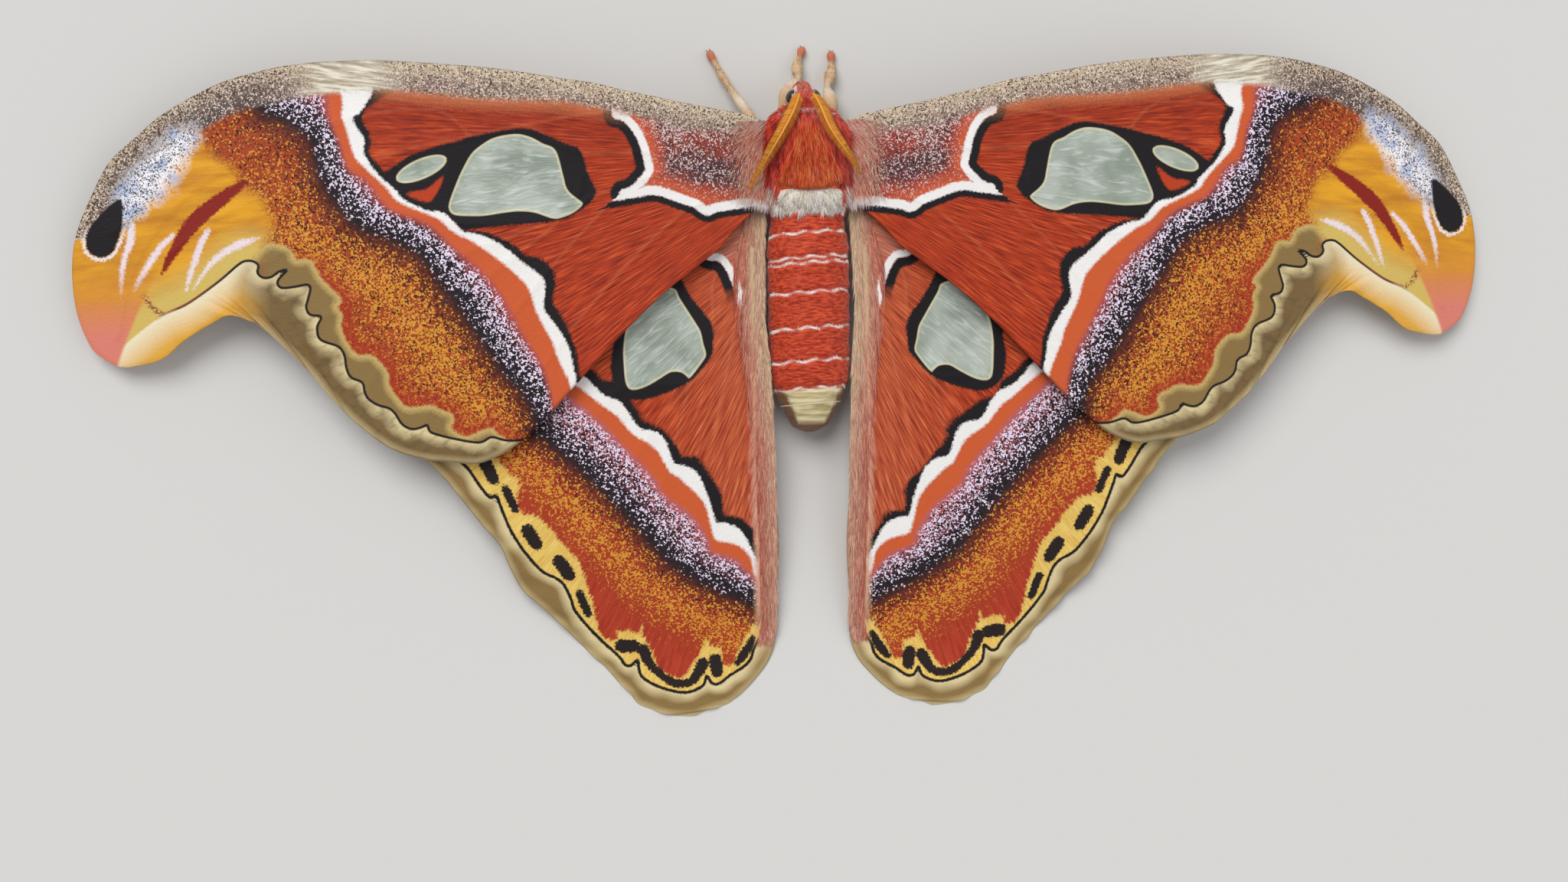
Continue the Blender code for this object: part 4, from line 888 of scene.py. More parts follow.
def wing_shape(lead, trail, steps, level, marks, root, flat_under):
    """Points, faces, marks and lie of a right wing as one closed sheet.

    P(u, v) = (1-v) L(u) + v T(u), with L and T the leading and trailing curves by share of their length. The
    two faces stand at level + relief, plus and minus half the thickness, and share the rim. The lie is the
    distance from the root and the turn about it.
    """
    u = np.linspace(0, 1, steps[0] + 1)
    v = np.linspace(0, 1, steps[1] + 1)[None, :, None]
    plan = at_share(spline(lead), u)[:, None] * (1 - v) + at_share(spline(trail), u)[:, None] * v
    x, y = plan[..., 0].ravel(), plan[..., 1].ravel()
    data = marks(x, y)
    relief, thick = wing_relief(data, np.broadcast_to(u[:, None], plan.shape[:2]).ravel() * RIM_RUN)
    middle = level(x, y) + relief
    upper = np.stack([x, y, middle + thick / 2], axis=1)
    lower = np.stack([x, y, middle - thick / 2], axis=1)
    if flat_under:
        lower[:, 2] = np.maximum(lower[:, 2], 0.0)
        upper[:, 2] = np.maximum(upper[:, 2], 0.05)
    top = np.arange(len(x)).reshape(plan.shape[:2])
    top[-1] = top[-1, 0]
    if np.allclose(lead[0], trail[0]):
        top[0] = top[0, 0]
    low = top + len(x)
    low[0], low[-1], low[:, 0], low[:, -1] = top[0], top[-1], top[:, 0], top[:, -1]
    faces = drop_flat(np.vstack([grid_faces(top)[:, ::-1], grid_faces(low)]))
    points, faces, used = compact(np.vstack([upper, lower]), faces)
    data = {key: np.concatenate([value, value])[used] for key, value in data.items()}
    data["under"] = (used >= len(x)).astype(float)
    x, y = points[:, 0], points[:, 1]
    swing = np.arctan2(x - root[0] + LIE_SHIFT, root[1] - y)
    lie = np.stack([np.hypot(x - root[0], y - root[1]), swing * LIE_RADIUS], axis=1)
    return points, faces, data, lie


def make_wings():
    """Both pairs of wings, the left ones mirrored from the right."""
    fore = (FORE_LEAD, FORE_TRAIL, FORE_STEPS, fore_level, fore_marks, FORE_ROOT, False)
    hind = (HIND_LEAD, HIND_TRAIL, HIND_STEPS, hind_level, hind_marks, HIND_ROOT, True)
    for kind, material, form in (("forewing", fore_material(), fore), ("hindwing", hind_material(), hind)):
        points, faces, data, lie = wing_shape(*form)
        for label in ("right", "left"):
            if label == "left":
                points, faces = mirrored(points, faces)
            obj = piece(kind + "_scales_" + label, points, faces, material, data, lie)
            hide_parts(kind + "_" + label)


# Stage

CAMERA_YAW = 7.43
CAMERA_ROLL = -1.75
CAMERA_AWAY = 362.0
CAMERA_TARGET = (-5.1, -10.0, 10.0)
FLOOR_HALF = 8.0
SUNS = (("key", (-0.5, 0.75, 1.2), 0.7, 2.0), ("fill", (1.2, -0.5, 1.0), 1.2, 0.55))
SKY = (0.94, 0.96, 1.0, 1.0)
SKY_STRENGTH = 0.42


def make_camera():
    """Camera above the moth, a little to one side and rolled, at the angle of the reference view."""
    yaw, roll = np.radians(CAMERA_YAW), np.radians(CAMERA_ROLL)
    back = np.array([-np.sin(yaw), 0.0, np.cos(yaw)])
    right = np.cross((0.0, 1.0, 0.0), back)
    right /= np.linalg.norm(right)
    up = np.cross(back, right)
    turned = right * np.cos(roll) + up * np.sin(roll)
    raised = -right * np.sin(roll) + up * np.cos(roll)
    place = (np.array(CAMERA_TARGET) + CAMERA_AWAY * back - (0, MIDDLE_Y, 0)) * MM
    lens = bpy.data.cameras.new("camera")
    lens.lens = 50.0
    lens.sensor_width = 36.0
    lens.clip_start = 0.01
    lens.clip_end = 10.0
    camera = placed("camera", lens)
    rows = [[turned[i], raised[i], back[i], place[i]] for i in range(3)]
    camera.matrix_world = Matrix(rows + [[0, 0, 0, 1]])
    bpy.context.scene.camera = camera


def make_stage():
    """Pale floor, two soft suns and an even sky."""
    mesh = bpy.data.meshes.new("floor")
    corners = [(x * FLOOR_HALF, y * FLOOR_HALF, 0) for x, y in ((-1, -1), (1, -1), (1, 1), (-1, 1))]
    mesh.from_pydata(corners, [], [(0, 1, 2, 3)])
    mesh.materials.append(Graph("floor").shaded(tone(214, 212, 208), Roughness=0.8))
    floor = placed("floor", mesh)
    for name, spot, spread, power in SUNS:
        light = bpy.data.lights.new(name, "SUN")
        light.angle = spread
        light.energy = power
        lamp = placed(name, light)
        lamp.location = spot
        lamp.rotation_euler = (-Vector(spot)).to_track_quat("-Z", "Y").to_euler()
    world = bpy.data.worlds.new("studio")
    world.use_nodes = True
    background = world.node_tree.nodes["Background"]
    background.inputs[0].default_value = SKY
    background.inputs[1].default_value = SKY_STRENGTH
    bpy.context.scene.world = world
    bpy.context.scene.view_settings.view_transform = "Standard"


# Body

THORAX_SECTIONS = [
    (49.35, 0.5, 9.3, 0.5), (49.0, 1.2, 9.2, 1.3), (48.4, 1.75, 9.2, 1.9), (47.6, 2.2, 9.3, 2.4),
    (46.6, 2.45, 9.5, 2.6), (45.9, 2.7, 9.5, 2.75), (45.2, 3.6, 9.55, 3.4), (44.6, 4.7, 9.7, 4.1),
    (43.2, 5.9, 9.8, 5.0), (41.6, 6.7, 9.9, 5.6), (39, 7.1, 10, 5.95), (36, 7.15, 10, 6.0),
    (32.5, 7.15, 10, 5.7), (30, 7.0, 9.9, 5.3), (28.4, 6.5, 9.75, 4.9), (27.4, 6.15, 9.45, 4.85)]
ABDOMEN_TIP = -8.7
RINGS = [24.4, 20.3, 19.4, 14.6, 8.7, 3.3, -1.3]
RING_TILT = 0.055
SHIELD_FRONT = 43.4
SHIELD_REAR = 31.0
SKIN_STEPS = (300, 128)
BODY_FRONT = 49.5
RING_WAVE = 0.18
WAIST = 26.2
WAIST_BLEND = 1.6
COLLAR_REAR = 27.3
GIRTH = 7.2
EYE_CENTRE = (1.75, 47.05, 9.5)
EYE_RADIUS = 1.42


def body_size(y):
    """Half-width, middle height and half-height of the body at Y.

    The abdomen is 6.9 (0.86 + 0.9 t) wide up to 6.9, less 4.6 (t - 0.72)^1.5 of it near the tip, with
    t = (27.7 - y) / 36.5; its middle is at 9.4 - 4.6 t^1.4 and its height 0.83 of its width.
    """
    t = np.clip((27.7 - y) / 36.5, 0, 1)
    width = 6.9 * np.minimum(1, 0.86 + 0.9 * t) * (1 - 4.6 * np.maximum(0, t - 0.72) ** 1.5)
    round_off = np.sqrt(np.clip((y - ABDOMEN_TIP) / 1.1, 0, 1))
    rear = np.stack([width * round_off, 9.4 - 4.6 * t ** 1.4, 0.83 * width * round_off], axis=-1)
    table = spline(THORAX_SECTIONS, 0.2)[::-1]
    front = np.stack([np.interp(y, table[:, 0], table[:, i]) for i in (1, 2, 3)], axis=-1)
    nose = np.sqrt(np.clip((BODY_FRONT - y) / 0.5, 0, 1))[..., None]
    front = front * np.concatenate([nose, np.ones_like(nose), nose], axis=-1)
    share = np.clip((y - WAIST) / WAIST_BLEND, 0, 1)[..., None]
    return rear * (1 - share) + front * share


def shield_half(y):
    """Half-width of the back shield, from narrow in front to wide behind."""
    return np.interp(y, [SHIELD_REAR, 32.0, 33.4, 35.2, 37.8, SHIELD_FRONT], [4.3, 4.95, 5.0, 4.5, 3.3, 1.5])


def ring_offset(x, y):
    """Distance behind the nearest ring of the abdomen, the rings being a little slanted and uneven."""
    line = y - RING_TILT * x - RING_WAVE * np.sin(x * 1.7 + y * 0.4)
    gaps = np.stack([ring - line for ring in RINGS])
    return gaps[np.argmin(np.abs(gaps), axis=0), np.arange(gaps.shape[1])]


def body_point(y, a):
    """Skin of the body: (w cos a, y, m + h sin a), swollen at the shield and drawn in at each ring."""
    size = body_size(y)
    w, m, h = size[:, 0], size[:, 1], size[:, 2]
    x = w * np.cos(a)
    behind = np.clip((y - SHIELD_REAR) / 0.5, 0, 1) * np.clip((SHIELD_FRONT - y) / 5, 0, 1)
    swell = 0.075 * behind * np.clip((shield_half(y) - np.abs(x)) / 0.8, 0, 1) * (np.sin(a) > 0)
    gap = ring_offset(x, y)
    ringed = np.clip((26.6 - y) / 1.0, 0, 1) * np.clip((y + 3.5) / 2, 0, 1)
    swell = swell - ringed * 0.055 * np.exp(-(gap / 0.55) ** 2)
    swell = swell + ringed * 0.018 * np.cos(np.clip(gap, -2.6, 2.6) * 1.2)
    return np.stack([x * (1 + swell), y, m + h * np.sin(a) * (1 + swell)], axis=1)


def unit(v):
    """Vectors made one long."""
    return v / np.maximum(np.linalg.norm(v, axis=1, keepdims=True), 1e-9)


def skin_frame(y, a):
    """Points of the skin with its outward and rearward directions, from its slopes along Y and around."""
    rear = unit(body_point(y - 0.4, a) - body_point(y + 0.4, a))
    round_way = body_point(y, a + 0.03) - body_point(y, a - 0.03)
    return body_point(y, a), unit(np.cross(rear, round_way) * -1.0), rear


def body_marks(points):
    """Marks shared by the skin and the coat, from where on the body a point or a hair's root is."""
    x, y, z = points.T
    top = body_size(y)[:, 1]
    shield = np.clip((shield_half(y) - np.abs(x)) / 0.5 + 0.5, 0, 1) * np.clip((z - top) / 2, 0, 1)
    shield *= (y > SHIELD_REAR) * (y < SHIELD_FRONT)
    collar = np.clip((SHIELD_REAR + 0.3 - y) / 0.4, 0, 1) * np.clip((y - COLLAR_REAR) / 0.5, 0, 1)
    collar *= np.clip((5.6 - np.abs(x)) / 0.6, 0, 1) * (z > top)
    beside = np.clip(1.5 - np.abs(np.abs(x) - 6.0) / 0.6, 0, 1) * (z > top) * (y > COLLAR_REAR) * (y < 33.8)
    collar = np.maximum(collar, 0.8 * beside)
    gap = ring_offset(x, y)
    fringe = np.clip(1.2 - np.abs(gap - 0.1) / 0.22, 0, 1) * (y < 27) * (y > -2.2)
    fringe = fringe * fringe_strength(x, y + gap)
    cone = np.clip((-1.4 + RING_TILT * x - y) / 0.3, 0, 1)
    return {"shield": shield, "pale": np.maximum(collar, fringe), "cone": cone,
            "belly": np.clip((top - 0.5 - z) / 2.5, 0, 1)}


def body_colour(g):
    """Markings of the body, the same for its skin and its fur, with painted shade towards the roots of the
    hairs.
    """
    x, y, _ = g.split(g.place())
    streak = g.noise(g.scaled(g.place(), (1.0, 0.18, 0.6)), 1.3, 3.0)
    tint = g.mark("tint")
    thorax = g.fade(streak, 0.4, 0.62, tone(190, 40, 30), tone(250, 92, 66))
    back = g.fade(streak, 0.38, 0.62, tone(232, 60, 18), tone(255, 128, 56))
    back = g.mix(g.ramp(tint, 0.82, 0.95) * 0.7, back, tone(255, 176, 124))
    back = g.mix(g.ramp(tint, 0.3, 0.05) * 0.6, back, tone(176, 34, 12))
    thorax = g.mix(g.ramp(tint, 0.88, 0.98) * 0.6, thorax, tone(255, 168, 150))
    thorax = g.mix(g.mark("shield"), thorax, back)
    across = g.noise(g.scaled(g.place(), (0.5, 2.2, 1.0)), 1.4, 3.0)
    segment = g.fade(across, 0.36, 0.62, tone(160, 36, 18), tone(222, 84, 46))
    segment = g.mix(g.ramp(tint, 0.88, 0.97) * 0.6, segment, tone(244, 160, 124))
    colour = g.fade(y, 26.6, 26.2, thorax, segment)
    lined = g.noise(g.scaled(g.place(), (0.12, 1.0, 0.3)), 1.6, 2.0)
    cone = g.fade(lined, 0.35, 0.66, tone(186, 166, 112), tone(250, 235, 186))
    flank = g.ramp(abs(x) - 0.5 * (y + 9.4) + 1.6 * (streak - 0.5), 0.9, 1.7)
    cone = g.mix(g.most(flank, g.ramp(y, -7.2, -8.2)) * 0.9, cone, tone(104, 52, 30))
    cone = g.mix(g.hump(y - RING_TILT * x, -4.6, 0.16) * 0.8, cone, tone(255, 246, 214))
    colour = g.mix(g.mark("cone"), colour, cone)
    colour = g.mix(g.mark("belly") * 0.8, colour, tone(150, 82, 56))
    pale = g.fade(tint, 0.1, 0.5, tone(244, 222, 184), tone(255, 253, 248))
    colour = g.mix(g.mark("pale"), colour, pale)
    face = g.fade(tint, 0.2, 0.9, tone(190, 66, 48), tone(244, 140, 112))
    head = g.mix(g.ramp(y, 45.4, 47.4) * 0.85, colour, face)
    head = g.mix(g.mark("pale") * g.ramp(y, 45.4, 46.4), head, pale)
    # Painted shade: each hair darker towards its root, less on the pale hairs; the skin, with along at 0.2,
    # gets part of it.
    return g.mix(g.ramp(g.mark("along"), 0.4, 0.0) * 0.22 * (1.0 - g.mark("pale")), head, tone(80, 24, 16))


def coat_material(name):
    """Soft matte material of the skin and the fur of the body."""
    g = Graph(name)
    return g.shaded(body_colour(g), **FURRY)


def make_body(material):
    """Head, thorax and abdomen as one skin of rings along Y, the rings closer at both ends."""
    even = np.linspace(0, 1, SKIN_STEPS[0] + 1)
    share = 0.35 * ((1 - np.cos(np.linspace(0, np.pi, SKIN_STEPS[0] + 1))) / 2) + 0.65 * even
    rows = BODY_FRONT + (ABDOMEN_TIP - BODY_FRONT) * share
    angles = np.arange(SKIN_STEPS[1]) * 2 * np.pi / SKIN_STEPS[1]
    points, faces = skin(body_point(np.repeat(rows, len(angles)), np.tile(angles, len(rows))), len(rows))
    marks = body_marks(points)
    marks["tint"] = np.full(len(points), 0.5)
    # An along of 0.2 gives the skin part of the painted root shade.
    marks["along"] = np.full(len(points), 0.2)
    obj = piece("body_skin", points, faces, material, marks)
    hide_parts("head", "thorax", "abdomen")


# Fur

SHIELD_HAIRS = 9600
RUFF_HAIRS = 6400
ABDOMEN_HAIRS = 8200
FRINGE_HAIRS = 900
HEAD_HAIRS = 6000
FACE_HAIRS = 3600
PALP_HAIRS = 1100
BELLY_HAIRS = 5200
MARGIN_HAIRS = 8000
ROOT_HAIRS = 4400
HAIR_POINTS = 10
HAIR_SPREAD = 0.0015
HAIR_FLAT = 0.6
ROOT_DEPTH = 0.1


def strands(roots, lean, fall, length, width, patch, taper=0.75):
    """Hairs of three sides, tapered: c(t) = root + L (t lean + t^2 fall), radius w (1 - t)^taper.

    Each hair is three rings of three points and a tip, 16 triangles, and has a small patch of the unwrap.
    """
    count = len(roots)
    lean = unit(lean)
    across = unit(np.cross(lean, (0.05, 0.1, 1.0)))
    above = np.cross(across, lean)
    fall, length, width = np.asarray(fall), np.broadcast_to(length, count), np.broadcast_to(width, count)
    points, shares, uvs = [], [], []
    for t in (0.0, 0.36, 0.72):
        centre = roots + length[:, None] * (t * lean + t * t * fall)
        radius = (width * (1 - t) ** taper)[:, None]
        for corner in range(3):
            turn = 2 * np.pi * corner / 3 + 0.5
            points.append(centre + radius * (np.cos(turn) * across + HAIR_FLAT * np.sin(turn) * above))
            shares.append(np.full(count, t))
            uvs.append(patch + (HAIR_SPREAD * (corner - 1), HAIR_SPREAD * (2 * t - 1)))
    points.append(roots + length[:, None] * (lean + fall))
    shares.append(np.ones(count))
    uvs.append(patch + (0.0, HAIR_SPREAD))
    faces = [(6 + c, 9, 6 + (c + 1) % 3) for c in range(3)] + [(0, 1, 2)]
    walls = []
    for k in (0, 3):
        for c in range(3):
            a, b = k + c, k + (c + 1) % 3
            walls += [(a, b + 3, b), (a, a + 3, b + 3)]
    tris = np.array(walls + faces)[None] + HAIR_POINTS * np.arange(count)[:, None, None]
    points, uvs = np.stack(points, axis=1).reshape(-1, 3), np.stack(uvs, axis=1).reshape(-1, 2)
    return points, [tris.reshape(-1, 3)], np.stack(shares, axis=1).ravel(), uvs


def hair_piece(name, hairs, marks, material, seed):
    """One piece of hairs, each with the marks of its root, a random tint and the share along it."""
    points, faces, share, uv = hairs
    marks["tint"] = np.random.default_rng(seed).random(len(points) // HAIR_POINTS)
    marks = {key: np.repeat(value, HAIR_POINTS) for key, value in marks.items()}
    marks["along"] = share
    obj = piece(name, points, faces, material, marks, uv, "OFBake")


def coat(name, seed, material, place, lean, droop, length, width, extra=None, depth=ROOT_DEPTH):
    """One coat of the body: hairs rooted under the skin and falling back to it, with the body's marks."""
    y, a, roots, normal = place
    roots = roots - normal * depth
    hairs = strands(roots, lean, -normal * droop, length, width, unwrap(a % TURN / TURN, (y + 9) / 59))
    hair_piece(name, hairs, {**body_marks(roots), **(extra or {})}, material, seed)


def unwrap(first, second):
    """Place on a hair piece's unwrap for two shares from 0 to 1, with a narrow border."""
    return np.stack([0.02 + 0.96 * first, 0.02 + 0.96 * second], axis=1)


def scatter(rng, count, y_low, y_high, a_low, a_high):
    """Even random places on the skin between two Y and two angles in degrees, thinned by the body's girth."""
    y = rng.uniform(y_low, y_high, count * 2)
    a = np.radians(rng.uniform(a_low, a_high, count * 2))
    keep = rng.random(count * 2) < body_size(y)[:, 0] / GIRTH
    return y[keep][:count], a[keep][:count]


def make_thorax_fur(material):
    """Long fur of the back: the shield's hairs run straight back, those beside it also outwards."""
    rng = np.random.default_rng(11)
    y, a = scatter(rng, SHIELD_HAIRS, 31.2, 44.9, 4, 176)
    roots, normal, rear = skin_frame(y, a)
    x = roots[:, 0]
    in_shield = np.abs(x) < shield_half(y)
    splay = np.where(in_shield, 0.03 * x, 0.30 * np.sign(x) * np.clip((np.abs(x) - 3) / 3, 0, 1))
    lift = np.where(in_shield, 0.14, 0.10) + 0.05 * rng.random(len(y))
    lean = rear + normal * lift[:, None]
    lean[:, 0] += splay
    lean += rng.normal(0, 0.06, lean.shape)
    end = SHIELD_REAR - 0.2 + 0.05 * x ** 2
    length = np.where(in_shield, np.minimum(rng.uniform(2.2, 4.0, len(y)), np.maximum(y - end, 0.5)),
                      rng.uniform(2.4, 4.2, len(y)))
    length = length * np.clip((45.6 - y) / 2.0, 0.35, 1)
    width = rng.uniform(0.07, 0.12, len(y))
    coat("thorax_coat", 1, material, (y, a, roots, normal), lean, 0.10, length, width)


def make_collar(material):
    """White ruff behind the shield, in loose clumps."""
    rng = np.random.default_rng(12)
    y, a = scatter(rng, RUFF_HAIRS, 28.4, 31.4, 38, 142)
    roots, normal, rear = skin_frame(y, a)
    x = roots[:, 0]
    clump = np.sin(x * 2.6 + 1.4 * np.sin(y * 2.1)) * np.sin(x * 1.1 + y)
    lean = rear + normal * (0.32 + 0.24 * clump + 0.12 * rng.random(len(y)))[:, None]
    lean[:, 0] += 0.05 * x + 0.34 * np.cos(x * 2.6 + 1.4 * np.sin(y * 2.1))
    lean += rng.normal(0, 0.16, lean.shape)
    length = rng.uniform(1.1, 2.3, len(y)) * (1 + 0.45 * clump)
    ones = np.ones(len(y))
    marks = {"pale": ones, "shield": 0 * ones}
    coat("collar_coat", 2, material, (y, a, roots, normal), lean, 0.26, length, 0.07, marks)


def make_abdomen_fur(material):
    """Short nap of the abdomen and the broken white fringe at each ring."""
    rng = np.random.default_rng(13)
    y, a = scatter(rng, ABDOMEN_HAIRS, -1.0, 27.2, -60, 240)
    roots, normal, rear = skin_frame(y, a)
    lean = rear + normal * 0.2 + rng.normal(0, 0.22, roots.shape)
    length = rng.uniform(0.45, 0.9, len(y))
    bare = {"pale": np.zeros(len(y))}
    coat("abdomen_coat", 3, material, (y, a, roots, normal), lean, 0.2, length, 0.05, bare)
    ys, angles = [], []
    for ring in RINGS:
        spread = np.radians(rng.uniform(-50, 230, FRINGE_HAIRS))
        across = body_size(np.full(FRINGE_HAIRS, ring))[:, 0] * np.cos(spread)
        row = ring + RING_TILT * across + RING_WAVE * np.sin(across * 1.7 + ring * 0.4)
        row = row + rng.normal(0.08, 0.12, FRINGE_HAIRS)
        keep = rng.random(FRINGE_HAIRS) < fringe_strength(across, ring)
        ys.append(row[keep])
        angles.append(spread[keep])
    y, a = np.concatenate(ys), np.concatenate(angles)
    roots, normal, rear = skin_frame(y, a)
    lean = rear + normal * 0.3 + rng.normal(0, 0.2, roots.shape)
    lean[:, 0] += 0.6 * np.sin(3.0 * roots[:, 0] + 2 * y)
    length = rng.uniform(0.35, 0.85, len(y))
    white = {"pale": np.ones(len(y))}
    place = (y, a, roots, normal)
    coat("abdomen_fringe", 4, material, place, lean, 0.3, length, 0.06, white, 0.05)


def fringe_strength(x, ring):
    """How full the white fringe of a ring is along its width, from a few waves."""
    return np.clip(0.62 + 0.3 * np.sin(1.3 * x + ring) + 0.25 * np.sin(2.9 * x + 2.3 * ring), 0.12, 1)


def make_head_fur(material):
    """Short tuft of the face and crown, with pale hairs about the eyes."""
    rng = np.random.default_rng(14)
    y, a = scatter(rng, HEAD_HAIRS, 44.0, 49.0, -90, 270)
    front = 49.48 - 1.6 * rng.random(FACE_HAIRS) ** 1.6
    y, a = np.append(y, front), np.append(a, rng.uniform(0, TURN, FACE_HAIRS))
    roots, normal, rear = skin_frame(y, a)
    across_eye = np.hypot(np.abs(roots[:, 0]) - EYE_CENTRE[0], y - EYE_CENTRE[1])
    eye = np.hypot(across_eye, roots[:, 2] - EYE_CENTRE[2])
    keep = eye > EYE_RADIUS - 0.05
    y, a, roots, normal, rear, eye = (values[keep] for values in (y, a, roots, normal, rear, eye))
    ahead = np.clip((y - 46.2) / 1.2, -1, 1)[:, None]
    lean = normal * 0.5 - rear * ahead + rng.normal(0, 0.22, roots.shape)
    lean[:, 2] += 0.5 * np.clip((y - 48.0) / 1.2, 0, 1)
    length = rng.uniform(0.45, 0.85, len(y)) * np.where(y < 45.8, 1.8, 1.0)
    pale = (np.abs(y - 44.7 + 0.05 * roots[:, 0] ** 2) < 0.35) * 0.8 + (rng.random(len(y)) < 0.08) * 0.7
    pale = np.clip(pale + 0.9 * (eye < EYE_RADIUS + 0.35) * (rng.random(len(y)) < 0.7), 0, 1)
    marks = {"pale": pale}
    coat("head_coat", 5, material, (y, a, roots, normal), lean, 0.2, length, 0.055, marks, 0.08)


PALP = [(0.9, 46.9, 7.9, 0.45), (0.95, 48.2, 7.7, 0.66), (0.85, 49.1, 8.0, 0.5), (0.7, 49.6, 8.4, 0.12)]


def make_palps(material):
    """Pair of short furred palps pointing forward under the face."""
    for label, sign in (("right", 1.0), ("left", -1.0)):
        rng = np.random.default_rng(17 if sign > 0 else 18)
        path = spline([(x * sign, y, z, r) for x, y, z, r in PALP], 0.15)
        shape, faces, _ = tube(path[:, :3], path[:, 3], 16)
        marks = {key: np.zeros(len(shape)) for key in ("shield", "pale", "cone", "belly")}
        marks["tint"] = np.full(len(shape), 0.5)
        marks["along"] = np.full(len(shape), 0.3)
        obj = piece("palp_" + label, shape, faces, material, marks)
        count = PALP_HAIRS
        pick = rng.integers(1, len(path), count)
        turn = rng.uniform(0, TURN, count)
        ahead, out = outward(path[:, :3], pick, turn)
        roots = path[pick, :3] + out * path[pick, 3:] * 0.9
        lean = ahead + 0.35 * out + rng.normal(0, 0.15, out.shape)
        patch = unwrap(turn / TURN, pick / len(path))
        hairs = strands(roots, lean, -out * 0.1, rng.uniform(0.35, 0.65, count), 0.05, patch)
        marks = body_marks(roots)
        marks.update(shield=np.zeros(count), belly=np.zeros(count), pale=(rng.random(count) < 0.25) * 0.7)
        hair_piece("palp_coat_" + label, hairs, marks, material, 7)


def make_belly_fur(material):
    """Fur under the thorax."""
    rng = np.random.default_rng(15)
    y, a = scatter(rng, BELLY_HAIRS, 27.5, 44.8, 178, 362)
    roots, normal, rear = skin_frame(y, a)
    lean = rear + normal * 0.22 + rng.normal(0, 0.14, roots.shape)
    length = rng.uniform(1.2, 2.2, len(y))
    coat("thorax_under_coat", 6, material, (y, a, roots, normal), lean, 0.1, length, 0.09)


# Hair on the wings

def hair_material():
    """Long hair on the wing roots and along the hindwings' inner margins, tinted by its own marks and with
    painted shade towards each root.
    """
    g = Graph("wing_hair")
    warm, tint = g.mark("warm"), g.mark("tint")
    red = g.fade(tint, 0.2, 0.9, tone(176, 52, 34), tone(232, 112, 82))
    sand = g.fade(tint, 0.1, 0.9, tone(222, 194, 146), tone(255, 238, 204))
    rose = g.fade(tint, 0.1, 0.9, tone(210, 128, 102), tone(250, 202, 176))
    colour = g.fade(warm, 0.0, 0.5, sand, rose)
    colour = g.fade(warm, 0.5, 1.0, colour, red)
    colour = g.mix(g.mark("pale"), colour, WHITE)
    # Painted shade: each hair darker towards its root.
    colour = g.mix(g.ramp(g.mark("along"), 0.35, 0.0) * 0.25, colour, tone(90, 40, 26))
    return g.shaded(colour, **FURRY)


def make_margin_hair(label, sign, material):
    """Long hair lying back along the inner margin of a hindwing, the first of it turned to the abdomen."""
    rng = np.random.default_rng(21 if sign > 0 else 22)
    count = MARGIN_HAIRS
    y = rng.uniform(-44, 29.0, count)
    edge = np.interp(y, [-47, -40, -18, 3, 13, 28], [7.7, 6.3, 6.3, 6.9, 7.7, 7.2])
    inward = rng.random(count)
    x = edge + 0.1 + inward ** 1.5 * np.interp(y, [-47, -10, 5, 20, 28], [2.2, 3.2, 4.4, 5.0, 3.0])
    z = hind_level(x, y) + WING_THICK / 2
    lean = np.stack([-0.12 + 0.3 * np.clip(x - edge, 0, 1) * np.interp(y, [-45, 0, 20], [0.3, 0.5, 0.9]),
                     -np.ones(count), hind_level(x, y - 1) - hind_level(x, y) + 0.09], 1)
    lean += rng.normal(0, 1, lean.shape) * (0.05, 0, 0.03)
    length = rng.uniform(1.8, 3.8, count) * np.clip((y + 47) / 8, 0.3, 1)
    warm = (x - edge) / 3.4 * 0.55 + np.interp(y, [-45, -10, 4, 28], [0.42, 0.32, 0.1, 0.1])
    warm = np.clip(warm + rng.normal(0, 0.1, count), 0, 1)
    roots = np.stack([x * sign, y, z], 1)
    lean[:, 0] *= sign
    width = rng.uniform(0.04, 0.075, count)
    hairs = strands(roots, lean, (0.0, 0.0, -0.08), length, width, unwrap(x / 121, (y + 57) / 112))
    hair_piece("hindwing_hair_" + label, hairs, {"warm": warm, "pale": 0 * warm}, material, 31)


def make_root_hair(label, sign, material):
    """Hair flowing from the thorax over the root of a forewing, outwards in front and back behind."""
    rng = np.random.default_rng(23 if sign > 0 else 24)
    count = ROOT_HAIRS
    y = rng.uniform(29.4, 43.0, count)
    share = rng.beta(0.9, 3.2, count)
    x = 6.7 + share * 7.5
    z = fore_level(x, y) + WING_THICK / 2 + 0.2
    rows = [29.5, 36, 42.5]
    lean = np.stack([np.interp(y, rows, [0.2, 0.3, 0.8]), np.interp(y, rows, [-1, -1, -0.6]),
                     np.full(count, 0.10)], 1) + rng.normal(0, 1, (count, 3)) * (0.1, 0.06, 0.04)
    roots = np.stack([x * sign, y, z], 1)
    lean[:, 0] *= sign
    warm = np.clip(0.74 - (x - 7) * 0.03 + rng.normal(0, 0.26, count), 0, 1)
    spotted = rng.random(count) < 0.14 + 0.3 * np.clip((y - 40.5) / 2, 0, 1)
    pale = np.clip((30.8 - y) / 0.8, 0, 1) + 0.6 * spotted
    length = rng.uniform(0.9, 2.4, count) * (1.1 - 0.6 * share)
    width = rng.uniform(0.03, 0.055, count)
    hairs = strands(roots, lean, (0.0, 0.0, -0.12), length, width, unwrap(x / 121, (y + 57) / 112))
    marks = {"warm": warm, "pale": np.clip(pale, 0, 1) * 0.8}
    hair_piece("forewing_hair_" + label, hairs, marks, material, 33)


def make_wing_hair():
    """Hair of all four wings."""
    material = hair_material()
    for label, sign in (("right", 1.0), ("left", -1.0)):
        make_margin_hair(label, sign, material)
        make_root_hair(label, sign, material)


# Legs, antennae, eyes; the last number of a leg's point is its half-width there

